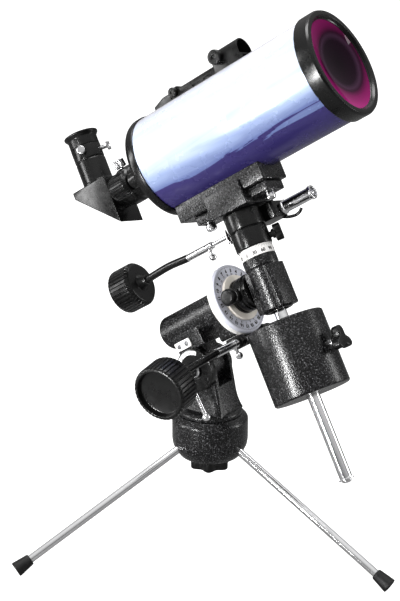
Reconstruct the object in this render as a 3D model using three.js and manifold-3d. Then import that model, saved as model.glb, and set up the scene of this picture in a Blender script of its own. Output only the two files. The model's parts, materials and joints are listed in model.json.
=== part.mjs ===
// A short Maksutov telescope on a small equatorial mount with a table-top tripod.
// Millimetres, +Z up. The telescope looks up and towards +X.
// Each group is one frame of the mount: azimuth, polar axis, declination axis, tube.
import * as THREE from "three";
import { mergeVertices } from "three/addons/utils/BufferGeometryUtils.js";
import Module from "manifold-3d";

const wasm = await Module();
wasm.setup();

const DEGREE = Math.PI / 180;
const GAP = 0.3; // left between pieces that touch

// Sides of a round piece, by its size
const LARGE = 32;
const ROUND = 20;
const SMALL = 12;
const TINY = 8;

// How the mount stands at rest
const LATITUDE = 33.1; // tilt of the polar axis above the ground
const HOUR_ANGLE = -8.4; // turn about the polar axis
const DEC_ANGLE = 5.8; // turn about the declination axis

// Tripod
const HUB_RADIUS = 38.3;
const HUB_TOP = 133.3;
const HUB_SHOULDER = 127.7;
const HUB_BOTTOM = 87.3;
const LEG_RADIUS = 4;
const LEG_APEX = 117.8; // where the three leg axes meet
const FOOT_REACH = 210;
const FOOT_HEIGHT = 1.9; // of the end of a leg's axis, before the foot is cut flat
const FOOT_LENGTH = 18;
const FOOT_RADIUS = 8;
const FLOOR = -3.9;
const STUD_RADIUS = 4;

// Fork and latitude pivot
const POLAR_HEIGHT = 237.2; // where the polar axis crosses the hub's axis
const PIVOT_X = -2.4;
const PIVOT_Z = 183.7;
const CHEEK_RADIUS = 17.8;
const CHEEK_OUTER = 17;
const CHEEK_INNER = 11.3;
const FORK_BASE = HUB_TOP + GAP;
const SLOT_DEPTH = 16; // below the pivot
const SCALE_RADIUS = 21.7;
const LEVER_LENGTH = 46;
const LEVER_ANGLE = -59.7; // below the horizontal, leaning forwards

// Polar axis: lengths along it are from the hub's axis
const HOUSING_RADIUS = 17.3;
const HOUSING_REAR = -57.6;
const HOUSING_FRONT = 30.3;
const BUSH_RADIUS = 12;
const SHAFT_RADIUS = 9;
const DIAL_RADIUS = 35.2;
const WHEEL_BACK = 30.7;
const WHEEL_FRONT = 36.2;
const DIAL_FRONT = 40.7;
const DISC_RADIUS = 23.3;
const DISC_FRONT = 43.6;
const HEAD_RADIUS = 17.2;
const DEC_AXIS_AT = 80.5; // where the declination axis crosses the polar axis
const RA_LOCK_AT = 51.5;

// Slow motion of the polar axis
const WORM_AT = 33.5;
const WORM_DROP = 38; // below the polar axis
const WORM_RADIUS = 2.5;
const BEARING_RADIUS = 6.3;
const COUPLING_RADIUS = 4.2;
const RA_KNOB_RADIUS = 26;
const RA_KNOB_LENGTH = 29;
const RA_KNOB_OUT = 129; // from the polar plane to the knob's inner face
const RA_KNOB_DROP = 43.4;
const RA_KNOB_TILT = 8.5;

// Declination axis: lengths along it are from the polar axis
const DEC_HOUSING_BOTTOM = -27;
const DEC_HOUSING_TOP = 15;
const DEC_NECK_TOP = 25.6;
const DEC_CIRCLE_TOP = 35.5;
const DEC_CIRCLE_RADIUS = 16.8;
const COLLAR_TOP = 54.8;
const SADDLE_BOTTOM = 73.3; // of the deep block in its middle
const PLATE_BOTTOM = 77.4;
const PLATE_TOP = 86.5;
const SADDLE_BOLT = 37; // from the declination axis
const WING_ANGLE = 25;
const WING_HEIGHT = 42;
const DEC_HEAD_RADIUS = 18.5;
const BAR_RADIUS = 6.2;
const BAR_END = -198;
const WEIGHT_RADIUS = 37.9;
const WEIGHT_TOP = -40.7;
const WEIGHT_BOTTOM = -114.6;

// Slow motion of the declination axis
const TANGENT_OFFSET = 28;
const TANGENT_HEIGHT = 64;
const DEC_KNOB_RADIUS = 23.5;
const DEC_KNOB_REAR = -186;
const DEC_KNOB_LENGTH = 28;
const DEC_FLEX_RADIUS = 4;

// Telescope: lengths along the tube are from the declination axis
const TUBE_AXIS_AT = 151.2; // along the declination axis
const TUBE_RADIUS = 51.2;
const TUBE_WALL = 1.8;
const TUBE_REAR = -57;
const BEZEL_RADIUS = 53.3;
const BEZEL_BACK = 143.7;
const BEZEL_FRONT = 160.2;
const APERTURE_RADIUS = 46;
const LENS_RADIUS = 48;
const LENS_CURVE = 125; // radius of curvature
const CELL_RADIUS = 52.6;
const CELL_BACK = -68;
const VISUAL_BACK_END = -112;
const VISUAL_BACK_SCREW_AT = -107;
const EYEPIECE_AT = -144;
const EYEPIECE_SCREW_UP = 53; // above the tube's axis
const EYEPIECE_SCREW_TURN = 68; // degrees from the tube's axis towards the near side
const EYEPIECE_RADIUS = 15.5;

const FINISHES = {
  hammertone: { color: 0x1c1c1e, roughness: 0.45, metalness: 0.2 },
  gloss_black: { color: 0x0c0c0d, roughness: 0.25, metalness: 0.1 },
  black_plastic: { color: 0x101011, roughness: 0.4, metalness: 0 },
  rubber: { color: 0x0e0e0e, roughness: 0.8, metalness: 0 },
  chrome: { color: 0xd8d8dc, roughness: 0.12, metalness: 1 },
  steel: { color: 0xa9abae, roughness: 0.35, metalness: 1 },
  bronze: { color: 0xa07a46, roughness: 0.4, metalness: 1 },
  white_plastic: { color: 0xeeece8, roughness: 0.45, metalness: 0 },
  dial_metal: { color: 0xc9cad2, roughness: 0.4, metalness: 0.3 },
  cream_plastic: { color: 0xe6dfd6, roughness: 0.5, metalness: 0 },
  blue_metallic: { color: 0x8f9ccf, roughness: 0.28, metalness: 0.6 },
  coated_glass: { color: 0x6a1450, roughness: 0.05, metalness: 0 },
  mirror: { color: 0xe4e6ea, roughness: 0.03, metalness: 1 },
};

// Solids

function solidOf(geometry) {
  const bare = geometry.clone();
  bare.deleteAttribute("normal");
  bare.deleteAttribute("uv");
  const merged = mergeVertices(bare, 1e-3);
  return new wasm.Manifold(
    new wasm.Mesh({
      numProp: 3,
      vertProperties: merged.attributes.position.array,
      triVerts: new Uint32Array(merged.index.array),
    }),
  );
}

function geometryOf(solid) {
  const mesh = solid.getMesh();
  const geometry = new THREE.BufferGeometry();
  geometry.setAttribute("position", new THREE.BufferAttribute(mesh.vertProperties, 3));
  geometry.setIndex(new THREE.BufferAttribute(mesh.triVerts, 1));
  return geometry;
}

const join = (...pieces) => geometryOf(pieces.map(solidOf).reduce((a, b) => a.add(b)));
const cut = (base, ...tools) => geometryOf(tools.map(solidOf).reduce((a, b) => a.subtract(b), solidOf(base)));
const keep = (base, zone) => geometryOf(solidOf(base).intersect(solidOf(zone)));

// A turned solid about Z. The profile is [radius, z] pairs, from axis to axis or closed on itself.
function turned(profile, segments = ROUND) {
  const points = profile.map(([radius, z]) => new THREE.Vector2(radius, z));
  return new THREE.LatheGeometry(points, segments).rotateX(Math.PI / 2);
}

const rod = (radius, z0, z1, segments = SMALL) =>
  turned([[0, z0], [radius, z0], [radius, z1], [0, z1]], segments);

const tube = (inner, outer, z0, z1, segments = ROUND) =>
  turned([[inner, z0], [outer, z0], [outer, z1], [inner, z1], [inner, z0]], segments);

// A rod or tube whose edges are chamfered
function softRod(radius, z0, z1, chamfer, segments = ROUND) {
  return turned(
    [
      [0, z0],
      [radius - chamfer, z0],
      [radius, z0 + chamfer],
      [radius, z1 - chamfer],
      [radius - chamfer, z1],
      [0, z1],
    ],
    segments,
  );
}

const box = (x0, x1, y0, y1, z0, z1) =>
  new THREE.BoxGeometry(x1 - x0, y1 - y0, z1 - z0).translate((x0 + x1) / 2, (y0 + y1) / 2, (z0 + z1) / 2);

// Turns a solid built along +Z so that it runs along a direction from a point.
function along(geometry, direction, from = [0, 0, 0]) {
  const turn = new THREE.Quaternion().setFromUnitVectors(
    new THREE.Vector3(0, 0, 1),
    new THREE.Vector3(...direction).normalize(),
  );
  return geometry.applyQuaternion(turn).translate(...from);
}

function extruded(shape, z0, z1, bevel = 0) {
  return new THREE.ExtrudeGeometry(shape, {
    depth: z1 - z0 - 2 * bevel,
    bevelEnabled: bevel > 0,
    bevelThickness: bevel,
    bevelSize: bevel,
    bevelOffset: -bevel,
    bevelSegments: 1,
    curveSegments: 4,
  }).translate(0, 0, z0 + bevel);
}

function roundedBox(x0, x1, y0, y1, z0, z1, radius, bevel) {
  const shape = new THREE.Shape();
  shape.moveTo(x0 + radius, y0);
  shape.lineTo(x1 - radius, y0);
  shape.absarc(x1 - radius, y0 + radius, radius, -90 * DEGREE, 0);
  shape.lineTo(x1, y1 - radius);
  shape.absarc(x1 - radius, y1 - radius, radius, 0, 90 * DEGREE);
  shape.lineTo(x0 + radius, y1);
  shape.absarc(x0 + radius, y1 - radius, radius, 90 * DEGREE, 180 * DEGREE);
  shape.lineTo(x0, y0 + radius);
  shape.absarc(x0 + radius, y0 + radius, radius, 180 * DEGREE, 270 * DEGREE);
  return extruded(shape, z0, z1, bevel);
}

// A round outline with square grips, such as a knob's or a geared rim's
function flutedShape(radius, depth, count, ridge = 0.5) {
  const shape = new THREE.Shape();
  const step = 360 / count;
  for (let i = 0; i < count; i++) {
    const corners = [
      [radius, 0],
      [radius, ridge],
      [radius - depth, ridge + 0.1],
      [radius - depth, 0.9],
    ];
    for (const [r, part] of corners) {
      const angle = (i + part) * step * DEGREE;
      const point = [r * Math.cos(angle), r * Math.sin(angle)];
      if (i === 0 && part === 0) shape.moveTo(...point);
      else shape.lineTo(...point);
    }
  }
  shape.closePath();
  return shape;
}

// The outline of a finely toothed rim
function toothedShape(radius, depth, count) {
  const outline = [];
  for (let i = 0; i < 2 * count; i++) {
    const r = radius - (i % 2) * depth;
    const angle = (i / count) * Math.PI;
    outline.push(new THREE.Vector2(r * Math.cos(angle), r * Math.sin(angle)));
  }
  return new THREE.Shape(outline);
}

// A star or wing outline: a circle whose radius swells into lobes
function lobedShape(radius, swell, lobes, points = 36) {
  const outline = [];
  for (let i = 0; i < points; i++) {
    const angle = (i / points) * 2 * Math.PI;
    const r = radius + swell * Math.cos(lobes * angle);
    outline.push(new THREE.Vector2(r * Math.cos(angle), r * Math.sin(angle)));
  }
  return new THREE.Shape(outline);
}

// Scene graph

function frame(parent, position = [0, 0, 0], rotation = [0, 0, 0]) {
  const group = new THREE.Group();
  group.position.set(...position);
  group.rotation.set(...rotation.map((angle) => angle * DEGREE));
  parent.add(group);
  return group;
}

function place(parent, name, slot, geometry, position = [0, 0, 0], rotation = [0, 0, 0]) {
  const finish = new THREE.MeshStandardMaterial(FINISHES[slot]);
  finish.name = slot;
  const mesh = new THREE.Mesh(geometry, finish);
  mesh.name = name;
  mesh.position.set(...position);
  mesh.rotation.set(...rotation.map((angle) => angle * DEGREE));
  parent.add(mesh);
  return mesh;
}

const telescope = new THREE.Group();
const tripod = frame(telescope);
const azimuth = frame(tripod);
// Here +Z runs up the polar axis and +X points down and forwards.
const polar = frame(azimuth, [0, 0, POLAR_HEIGHT], [0, 90 - LATITUDE, 0]);
const hour = frame(polar, [0, 0, 0], [0, 0, HOUR_ANGLE]);
// Here +Z runs up the declination axis and +X along the polar axis.
const declination = frame(hour, [0, 0, DEC_AXIS_AT], [0, -90, 0]);
const saddle = frame(declination, [0, 0, 0], [0, 0, DEC_ANGLE]);
// Here +Z runs along the tube and -X points up.
const optics = frame(saddle, [0, 0, TUBE_AXIS_AT], [0, 90, 0]);

// Tripod

const LEG_SLOPE = Math.atan2(LEG_APEX - FOOT_HEIGHT, FOOT_REACH);
const LEG_REACH = FOOT_REACH / Math.cos(LEG_SLOPE);
const LEG_START = 24; // along the leg's axis, inside its socket
const LEGS = { front: 0, left: 120, right: 240 };

function hubCasting() {
  const body = turned(
    [
      [0, HUB_BOTTOM],
      [27, HUB_BOTTOM],
      [30.5, 88.5],
      [34.5, 94],
      [37.4, 100],
      [HUB_RADIUS, 105.5],
      [HUB_RADIUS, HUB_SHOULDER],
      [HUB_RADIUS - 1, HUB_SHOULDER + 1.4],
      [33, HUB_TOP],
      [0, HUB_TOP],
    ],
    LARGE,
  );
  const bore = rod(STUD_RADIUS + 0.4, HUB_BOTTOM - 1, HUB_TOP + 1);
  const sockets = Object.values(LEGS).map((angle) =>
    legFrame(rod(LEG_RADIUS + GAP, LEG_START - GAP, 60), angle),
  );
  return cut(body, bore, ...sockets);
}

// Lays a solid built along +Z on the axis of the leg at an angle about the hub.
function legFrame(geometry, angle) {
  const tilt = 90 + LEG_SLOPE / DEGREE;
  return geometry
    .rotateY(tilt * DEGREE)
    .translate(0, 0, LEG_APEX)
    .rotateZ(angle * DEGREE);
}

const legRod = () => softRod(LEG_RADIUS, LEG_START, LEG_REACH - 3, 0.6, SMALL);

function legFoot(angle) {
  const start = LEG_REACH - FOOT_LENGTH;
  const cap = turned(
    [
      [LEG_RADIUS + GAP, start],
      [5, start],
      [5.6, start + 0.8],
      [FOOT_RADIUS, LEG_REACH - 0.8],
      [FOOT_RADIUS - 0.6, LEG_REACH],
      [0, LEG_REACH],
      [0, LEG_REACH - 2.7],
      [LEG_RADIUS + GAP, LEG_REACH - 2.7],
      [LEG_RADIUS + GAP, start],
    ],
    SMALL,
  );
  const below = box(0, 2 * FOOT_REACH, -50, 50, FLOOR - 50, FLOOR);
  return cut(legFrame(cap, angle), below.rotateZ(angle * DEGREE));
}

place(tripod, "hub_casting", "hammertone", hubCasting());
for (const [side, angle] of Object.entries(LEGS)) {
  place(tripod, `leg_${side}`, "chrome", legFrame(legRod(), angle));
  place(tripod, `foot_${side}`, "rubber", legFoot(angle));
}

function azimuthKnob() {
  const star = extruded(lobedShape(18.6, 2.4, 6), 74, 86.3, 1.6);
  const stud = rod(STUD_RADIUS, 80, 148);
  return join(star, stud);
}

place(tripod, "azimuth_knob", "black_plastic", azimuthKnob());

// Fork

const inPivotPlane = (geometry) => geometry.rotateX(90 * DEGREE).translate(PIVOT_X, 0, PIVOT_Z);

function forkTower() {
  const foot = FORK_BASE + 4 - PIVOT_Z;
  const lean = 8 * DEGREE;
  const sides = new THREE.Shape();
  sides.moveTo(-22, foot);
  sides.lineTo(26, foot);
  sides.absarc(0, 0, CHEEK_RADIUS, lean, 180 * DEGREE - lean);
  sides.closePath();
  return inPivotPlane(extruded(sides, -CHEEK_OUTER, CHEEK_OUTER, 1.2));
}

// The tower's flanks spread towards the base, below the round heads.
function forkSkirt() {
  const foot = FORK_BASE + 4;
  const top = PIVOT_Z - CHEEK_RADIUS - 5;
  const skirt = box(-23.5, 22.5, -CHEEK_OUTER, CHEEK_OUTER, foot, top);
  const spread = 1.2;
  const points = skirt.getAttribute("position");
  for (let i = 0; i < points.count; i++) {
    if (points.getZ(i) < top - 1) points.setY(i, points.getY(i) * spread);
  }
  return skirt;
}

function azimuthFork() {
  const base = turned(
    [
      [0, FORK_BASE],
      [32.4, FORK_BASE],
      [32.4, FORK_BASE + 3.4],
      [30.6, FORK_BASE + 5.4],
      [0, FORK_BASE + 5.4],
    ],
    LARGE,
  );
  const slot = box(-60, 60, -CHEEK_INNER, CHEEK_INNER, PIVOT_Z - SLOT_DEPTH, PIVOT_Z + 40);
  const pivotHole = inPivotPlane(rod(STUD_RADIUS + GAP, -60, 60));
  const studHole = rod(STUD_RADIUS + GAP, FORK_BASE - 1, 149);
  return cut(join(base, forkTower(), forkSkirt()), slot, pivotHole, studHole);
}

function latitudeScale() {
  const back = CHEEK_OUTER + GAP;
  const profile = [
    [STUD_RADIUS + GAP, back],
    [SCALE_RADIUS, back],
    [SCALE_RADIUS, back + 5.6],
    [SCALE_RADIUS - 1, back + 6.6],
    [STUD_RADIUS + GAP, back + 6.6],
    [STUD_RADIUS + GAP, back],
  ];
  return inPivotPlane(turned(profile));
}

function latitudeBolt() {
  const head = softRod(6, 24.4, 42, 1, SMALL);
  const shank = rod(STUD_RADIUS, -CHEEK_OUTER - 5, 25);
  const reach = [Math.cos(LEVER_ANGLE * DEGREE), Math.sin(LEVER_ANGLE * DEGREE), 0];
  const ball = new THREE.SphereGeometry(4.2, 12, 8).translate(0, 0, LEVER_LENGTH);
  const lever = along(join(rod(2.2, 0, LEVER_LENGTH, TINY), ball), reach, [0, 0, 38]);
  return inPivotPlane(join(head, shank, lever));
}

place(azimuth, "azimuth_fork", "hammertone", azimuthFork());
place(azimuth, "latitude_scale", "gloss_black", latitudeScale());
place(azimuth, "latitude_lock_bolt", "chrome", latitudeBolt());

// Polar axis housing

function pivotInPolar() {
  const offset = new THREE.Vector3(PIVOT_X, 0, PIVOT_Z - POLAR_HEIGHT);
  return offset.applyAxisAngle(new THREE.Vector3(0, 1, 0), -(90 - LATITUDE) * DEGREE);
}

function raHousing() {
  const pivot = pivotInPolar();
  const barrel = turned(
    [
      [0, HOUSING_REAR],
      [HOUSING_RADIUS - 4, HOUSING_REAR],
      [HOUSING_RADIUS - 1.2, HOUSING_REAR + 1.2],
      [HOUSING_RADIUS, HOUSING_REAR + 4],
      [HOUSING_RADIUS, HOUSING_FRONT],
      [0, HOUSING_FRONT],
    ],
  );
  const web = box(4, 25, -16.5, 16.5, -46, -10);
  const lug = box(4, 31, -14, 14, 7, HOUSING_FRONT);
  const strap = box(16, pivot.x, -10.8, 10.8, pivot.z - 14, pivot.z + 14);
  const knuckle = along(rod(14, -10.8, 10.8, ROUND), [0, 1, 0], [pivot.x, 0, pivot.z]);
  const pivotHole = along(rod(STUD_RADIUS + GAP, -30, 30), [0, 1, 0], [pivot.x, 0, pivot.z]);
  const bore = rod(BUSH_RADIUS + GAP, HOUSING_REAR + 8, HOUSING_FRONT + 1, ROUND);
  return cut(join(barrel, web, lug, strap, knuckle), pivotHole, bore);
}

function wormBracket() {
  const wormLine = [WORM_DROP, 0, WORM_AT];
  const bearing = (from, to) =>
    along(tube(WORM_RADIUS + GAP, BEARING_RADIUS, from, to), [0, -1, 0], wormLine);
  const back = WHEEL_BACK - GAP;
  const plate = box(31.3, 44.3, -24, 22, 24.5, back);
  const block = box(31.3, 42, -14, 14, 14, back);
  const shaftPath = along(rod(WORM_RADIUS + GAP, -40, 40), [0, 1, 0], wormLine);
  return cut(join(plate, block, bearing(17, 24), bearing(-22, -17)), shaftPath);
}

place(polar, "ra_housing", "hammertone", raHousing());
place(polar, "polar_bush", "bronze", tube(SHAFT_RADIUS + GAP, BUSH_RADIUS, -48, HOUSING_FRONT - 0.5));
place(polar, "latitude_index", "white_plastic", box(11.5, 20.5, -18.6, -16.8, -44.5, -24.5));
place(polar, "worm_bracket", "gloss_black", wormBracket());

// Slow motion of the polar axis: worm, coupling, flexible shaft and knob

const WORM_LINE = [WORM_DROP, 0, WORM_AT];
const SIDE = [0, -1, 0]; // away from the polar plane, where the knob is

function raWorm() {
  const pitch = 4;
  const profile = [[0, -30], [2, -30], [2, -16]];
  for (let at = -16; at < 16; at += pitch) {
    profile.push([WORM_RADIUS, at + pitch / 4], [WORM_RADIUS - 0.7, at + pitch / 2]);
  }
  profile.push([2, 16], [2, 36], [0, 36]);
  return along(turned(profile, TINY), SIDE, WORM_LINE);
}

// A sleeve with a blind bore at each end, and a ball-headed set screw on its side
function coupling(from, to, radius, frontBore, rearBore, screwAt, screwSide) {
  const sleeve = softRod(radius, from, to, 0.5, SMALL);
  const front = rod(frontBore, from - 1, from + 12);
  const rear = rod(rearBore, to - 12, to + 1);
  const ball = new THREE.SphereGeometry(3.8, 10, 6).translate(0, 0, radius + 7.5);
  const screw = join(rod(1.5, radius - 1, radius + 6, TINY), ball);
  return join(cut(sleeve, front, rear), along(screw, screwSide, [0, 0, screwAt]));
}

const FLEX_RADIUS = 3.6;
const FLEX_START = 50;

function raFlexShaft() {
  const tilt = RA_KNOB_TILT * DEGREE;
  const end = RA_KNOB_OUT - GAP;
  const route = new THREE.CatmullRomCurve3([
    new THREE.Vector3(WORM_DROP, -FLEX_START, WORM_AT),
    new THREE.Vector3(WORM_DROP, -62, WORM_AT),
    new THREE.Vector3(WORM_DROP + 1, -85, WORM_AT),
    new THREE.Vector3(RA_KNOB_DROP - 22 * Math.sin(tilt), -end + 22 * Math.cos(tilt), WORM_AT),
    new THREE.Vector3(RA_KNOB_DROP, -end, WORM_AT),
  ]);
  const section = new THREE.Shape().absarc(0, 0, FLEX_RADIUS, 0, 2 * Math.PI);
  return new THREE.ExtrudeGeometry(section, { steps: 10, curveSegments: 5, extrudePath: route });
}

// A fluted grip with a dished outer face, built along +Z from its inner face
function knob(radius, length, flutes, depth) {
  const grip = extruded(flutedShape(radius, depth, flutes), 0, length);
  const rounding = turned(
    [
      [0, 0],
      [radius - 3, 0],
      [radius + 1, 3],
      [radius + 1, length - 2],
      [radius - 2.5, length],
      [0, length],
    ],
    SMALL,
  );
  const bottom = length - 4;
  const mouth = length + 1;
  const dish = turned([[0, bottom], [radius - 6.5, bottom], [radius - 5, mouth], [0, mouth]]);
  return cut(keep(grip, rounding), dish);
}

function raKnob() {
  const tilt = RA_KNOB_TILT * DEGREE;
  const collar = turned([[0, -2], [6.5, -2], [9, 4], [0, 4]], SMALL);
  const direction = [Math.sin(tilt), -Math.cos(tilt), 0];
  const turnedOut = along(knob(RA_KNOB_RADIUS, RA_KNOB_LENGTH, 30, 1.3), direction);
  const neck = along(collar, direction);
  return join(turnedOut, neck).translate(RA_KNOB_DROP + 2.3 * Math.sin(tilt), -RA_KNOB_OUT - 2.3, WORM_AT);
}

place(polar, "ra_worm", "chrome", raWorm());
const raSleeve = along(
  coupling(25, 60, COUPLING_RADIUS, 2.3, FLEX_RADIUS + GAP / 2, 31, [1, 0, 0]),
  [0, 0, 1],
);
// The sleeve is built along +Z with its screw on +X, then laid sideways under the dial.
place(polar, "ra_coupling", "chrome", raSleeve, WORM_LINE, [90, 0, 0]);
place(polar, "ra_flex_shaft", "rubber", raFlexShaft());
place(polar, "ra_knob", "black_plastic", raKnob());

// Parts that turn about the polar axis

function rim(back, front, inner) {
  const teeth = extruded(toothedShape(DIAL_RADIUS, 0.7, 60), back, front);
  return cut(teeth, rod(inner, back - 1, front + 1, ROUND));
}

function raHead() {
  const back = DISC_FRONT + GAP;
  const body = turned(
    [
      [SHAFT_RADIUS + GAP, back],
      [HEAD_RADIUS, back],
      [HEAD_RADIUS, 54],
      [HEAD_RADIUS - 1, 54.6],
      [HEAD_RADIUS - 1, 55.8],
      [HEAD_RADIUS + 0.6, 56.4],
      [HEAD_RADIUS + 0.6, 59],
      [HEAD_RADIUS - 0.8, 59.6],
      [HEAD_RADIUS - 0.8, 63.8],
      [SHAFT_RADIUS + GAP, 63.8],
      [SHAFT_RADIUS + GAP, back],
    ],
  );
  const boss = along(softRod(6.5, 10, 21, 0.8, SMALL), [0, -1, 0], [0, 0, 51.5]);
  const bore = rod(SHAFT_RADIUS + GAP, 40, 70, ROUND);
  const screwHole = along(rod(3.3, 5, 30, TINY), [0, -1, 0], [0, 0, 51.5]);
  return cut(join(body, boss), bore, screwHole);
}

function raLockKnob() {
  const grip = softRod(8.2, 25, 33, 1.6);
  const stem = rod(3, 14, 26, TINY);
  return along(join(grip, stem), SIDE, [0, 0, RA_LOCK_AT]);
}

place(hour, "polar_shaft", "steel", softRod(SHAFT_RADIUS, -47, 62.8, 0.8));
place(hour, "ra_worm_wheel", "white_plastic", rim(WHEEL_BACK, WHEEL_FRONT, SHAFT_RADIUS + GAP));
place(
  hour,
  "ra_clutch_disc",
  "cream_plastic",
  tube(SHAFT_RADIUS + GAP, DISC_RADIUS, DIAL_FRONT + GAP, DISC_FRONT),
);
place(hour, "ra_head", "gloss_black", raHead());
place(hour, "ra_lock_knob", "black_plastic", raLockKnob());
place(polar, "ra_setting_circle", "dial_metal", rim(WHEEL_FRONT + GAP, DIAL_FRONT, SHAFT_RADIUS + GAP));

// Declination housing and what turns in it

function decHousing() {
  const block = roundedBox(-16, 16, -12.5, 16, DEC_HOUSING_BOTTOM, DEC_HOUSING_TOP, 4, 2);
  const neck = turned(
    [
      [0, DEC_HOUSING_BOTTOM - 1.5],
      [14.6, DEC_HOUSING_BOTTOM - 1.5],
      [16, DEC_HOUSING_BOTTOM],
      [16, DEC_HOUSING_TOP],
      [DEC_CIRCLE_RADIUS, DEC_HOUSING_TOP + 1.5],
      [DEC_CIRCLE_RADIUS, DEC_NECK_TOP],
      [0, DEC_NECK_TOP],
    ],
  );
  return cut(join(block, neck), rod(SHAFT_RADIUS + GAP, -40, 40, ROUND));
}

function counterweight() {
  const body = softRod(WEIGHT_RADIUS, WEIGHT_BOTTOM, WEIGHT_TOP, 1.5, LARGE);
  const bore = rod(BAR_RADIUS + GAP, WEIGHT_BOTTOM - 1, WEIGHT_TOP + 1, ROUND);
  const middle = (WEIGHT_TOP + WEIGHT_BOTTOM) / 2;
  const screwHole = along(rod(3.6, 5, 50, TINY), [1, 0, 0], [0, 0, middle]);
  return cut(body, bore, screwHole);
}

function counterweightKnob() {
  const middle = (WEIGHT_TOP + WEIGHT_BOTTOM) / 2;
  const grip = extruded(lobedShape(9.6, 3.6, 3, 36), 45, 54, 1.4);
  const stem = rod(3.2, 10, 46, TINY);
  return along(join(grip, stem), [1, 0, 0], [0, 0, middle]);
}

function barStop() {
  const washer = [[0, BAR_END - GAP], [7.6, BAR_END - GAP], [7.6, BAR_END - 1.8], [5.2, BAR_END - 1.8]];
  const dome = [[4.6, BAR_END - 3.4], [3, BAR_END - 4.4], [0, BAR_END - 4.8]];
  return turned([...washer, ...dome].reverse(), SMALL);
}

place(declination, "dec_housing", "hammertone", decHousing());
place(
  declination,
  "dec_setting_circle",
  "dial_metal",
  tube(SHAFT_RADIUS + GAP, DEC_CIRCLE_RADIUS, DEC_NECK_TOP + GAP, DEC_CIRCLE_TOP),
);
place(saddle, "dec_shaft", "steel", softRod(SHAFT_RADIUS, DEC_HOUSING_BOTTOM + 0.5, SADDLE_BOTTOM - 1, 0.8));
place(saddle, "counterweight_bar", "chrome", rod(BAR_RADIUS, BAR_END, DEC_HOUSING_BOTTOM + 0.2, ROUND));
place(saddle, "bar_stop", "chrome", barStop());
place(saddle, "counterweight", "hammertone", counterweight());
place(saddle, "counterweight_knob", "black_plastic", counterweightKnob());

// Declination clamp, tangent arm and saddle

const wingSide = [Math.cos(WING_ANGLE * DEGREE), Math.sin(WING_ANGLE * DEGREE), 0];

function clampCollar() {
  const ring = tube(SHAFT_RADIUS + GAP, DEC_HEAD_RADIUS - 0.4, DEC_CIRCLE_TOP + GAP, COLLAR_TOP);
  return cut(ring, along(rod(3.3, 5, 30, TINY), wingSide, [0, 0, WING_HEIGHT]));
}

function decLockKnob() {
  const wing = extruded(lobedShape(5.6, 2.8, 2, 32), 22.5, 30, 1);
  return along(join(wing, rod(3, 12, 24, TINY)), wingSide, [0, 0, WING_HEIGHT]);
}

function tangentBlock() {
  const casting = roundedBox(3, 28, 12, 35.5, 56, 72.6, 3, 1);
  const around = rod(DEC_HEAD_RADIUS + GAP, 50, 80, ROUND);
  const screwBore = along(rod(2.6, -30, 26, TINY), [1, 0, 0], [0, TANGENT_OFFSET, TANGENT_HEIGHT]);
  return cut(casting, around, screwBore);
}

const tangentLine = [0, TANGENT_OFFSET, TANGENT_HEIGHT];
const onTangentLine = (geometry) => along(geometry, [1, 0, 0], tangentLine);

function springHousing() {
  return onTangentLine(
    turned(
      [
        [0, 28.3],
        [6, 28.3],
        [6, 62.5],
        [7, 63],
        [7, 65.5],
        [6.2, 66.2],
        [4.6, 66.2],
        [4.6, 60],
        [0, 60],
      ],
      ROUND,
    ),
  );
}

const CRADLE_HALF = 21;
const boltHole = (at) => rod(2.9, 60, 92, TINY).translate(at, 0, 0);

// A plate with a deeper block in the middle, whose sides rise past the cradle's
function saddlePlate() {
  const plate = roundedBox(-42, 46.5, -15.5, 15.5, PLATE_BOTTOM, PLATE_TOP, 2, 1);
  const block = box(-20, 24.5, -24.5, 24.5, SADDLE_BOTTOM, 97);
  const between = box(-30, 30, -CRADLE_HALF - GAP, CRADLE_HALF + GAP, PLATE_TOP, 100);
  return cut(join(plate, cut(block, between)), boltHole(-SADDLE_BOLT), boltHole(SADDLE_BOLT));
}

function saddleBolt() {
  const head = tube(1.6, 5.3, PLATE_BOTTOM - 7, PLATE_BOTTOM - GAP, SMALL);
  const shank = rod(2.6, PLATE_BOTTOM - 3, 91, TINY);
  return join(head, shank);
}

// The cradle hugs the underside of the tube.
function tubeCradle() {
  const block = roundedBox(-56, 50, -CRADLE_HALF, CRADLE_HALF, PLATE_TOP + GAP, 105, 2, 1);
  const seat = along(rod(TUBE_RADIUS + GAP, -100, 120, LARGE), [1, 0, 0], [0, 0, TUBE_AXIS_AT]);
  return cut(block, seat, boltHole(-SADDLE_BOLT), boltHole(SADDLE_BOLT));
}

place(saddle, "dec_clamp_collar", "gloss_black", clampCollar());
place(saddle, "dec_lock_knob", "black_plastic", decLockKnob());
place(
  saddle,
  "dec_head",
  "gloss_black",
  tube(SHAFT_RADIUS + GAP, DEC_HEAD_RADIUS, COLLAR_TOP + GAP, SADDLE_BOTTOM - GAP),
);
place(saddle, "tangent_block", "gloss_black", tangentBlock());
place(saddle, "spring_housing", "chrome", springHousing());
place(saddle, "saddle_plate", "hammertone", saddlePlate());
place(saddle, "saddle_bolt_front", "chrome", saddleBolt(), [SADDLE_BOLT, 0, 0]);
place(saddle, "saddle_bolt_rear", "chrome", saddleBolt(), [-SADDLE_BOLT, 0, 0]);
place(saddle, "tube_cradle", "hammertone", tubeCradle());

const REARWARD = [-1, 0, 0];
const onScrewLine = (geometry) => along(geometry, REARWARD, tangentLine);

function decKnob() {
  const inner = -DEC_KNOB_REAR - DEC_KNOB_LENGTH;
  const neck = turned([[0, -8], [5.5, -8], [10, 3], [0, 3]], SMALL);
  return onScrewLine(join(knob(DEC_KNOB_RADIUS, DEC_KNOB_LENGTH, 28, 1.2), neck).translate(0, 0, inner));
}

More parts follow.
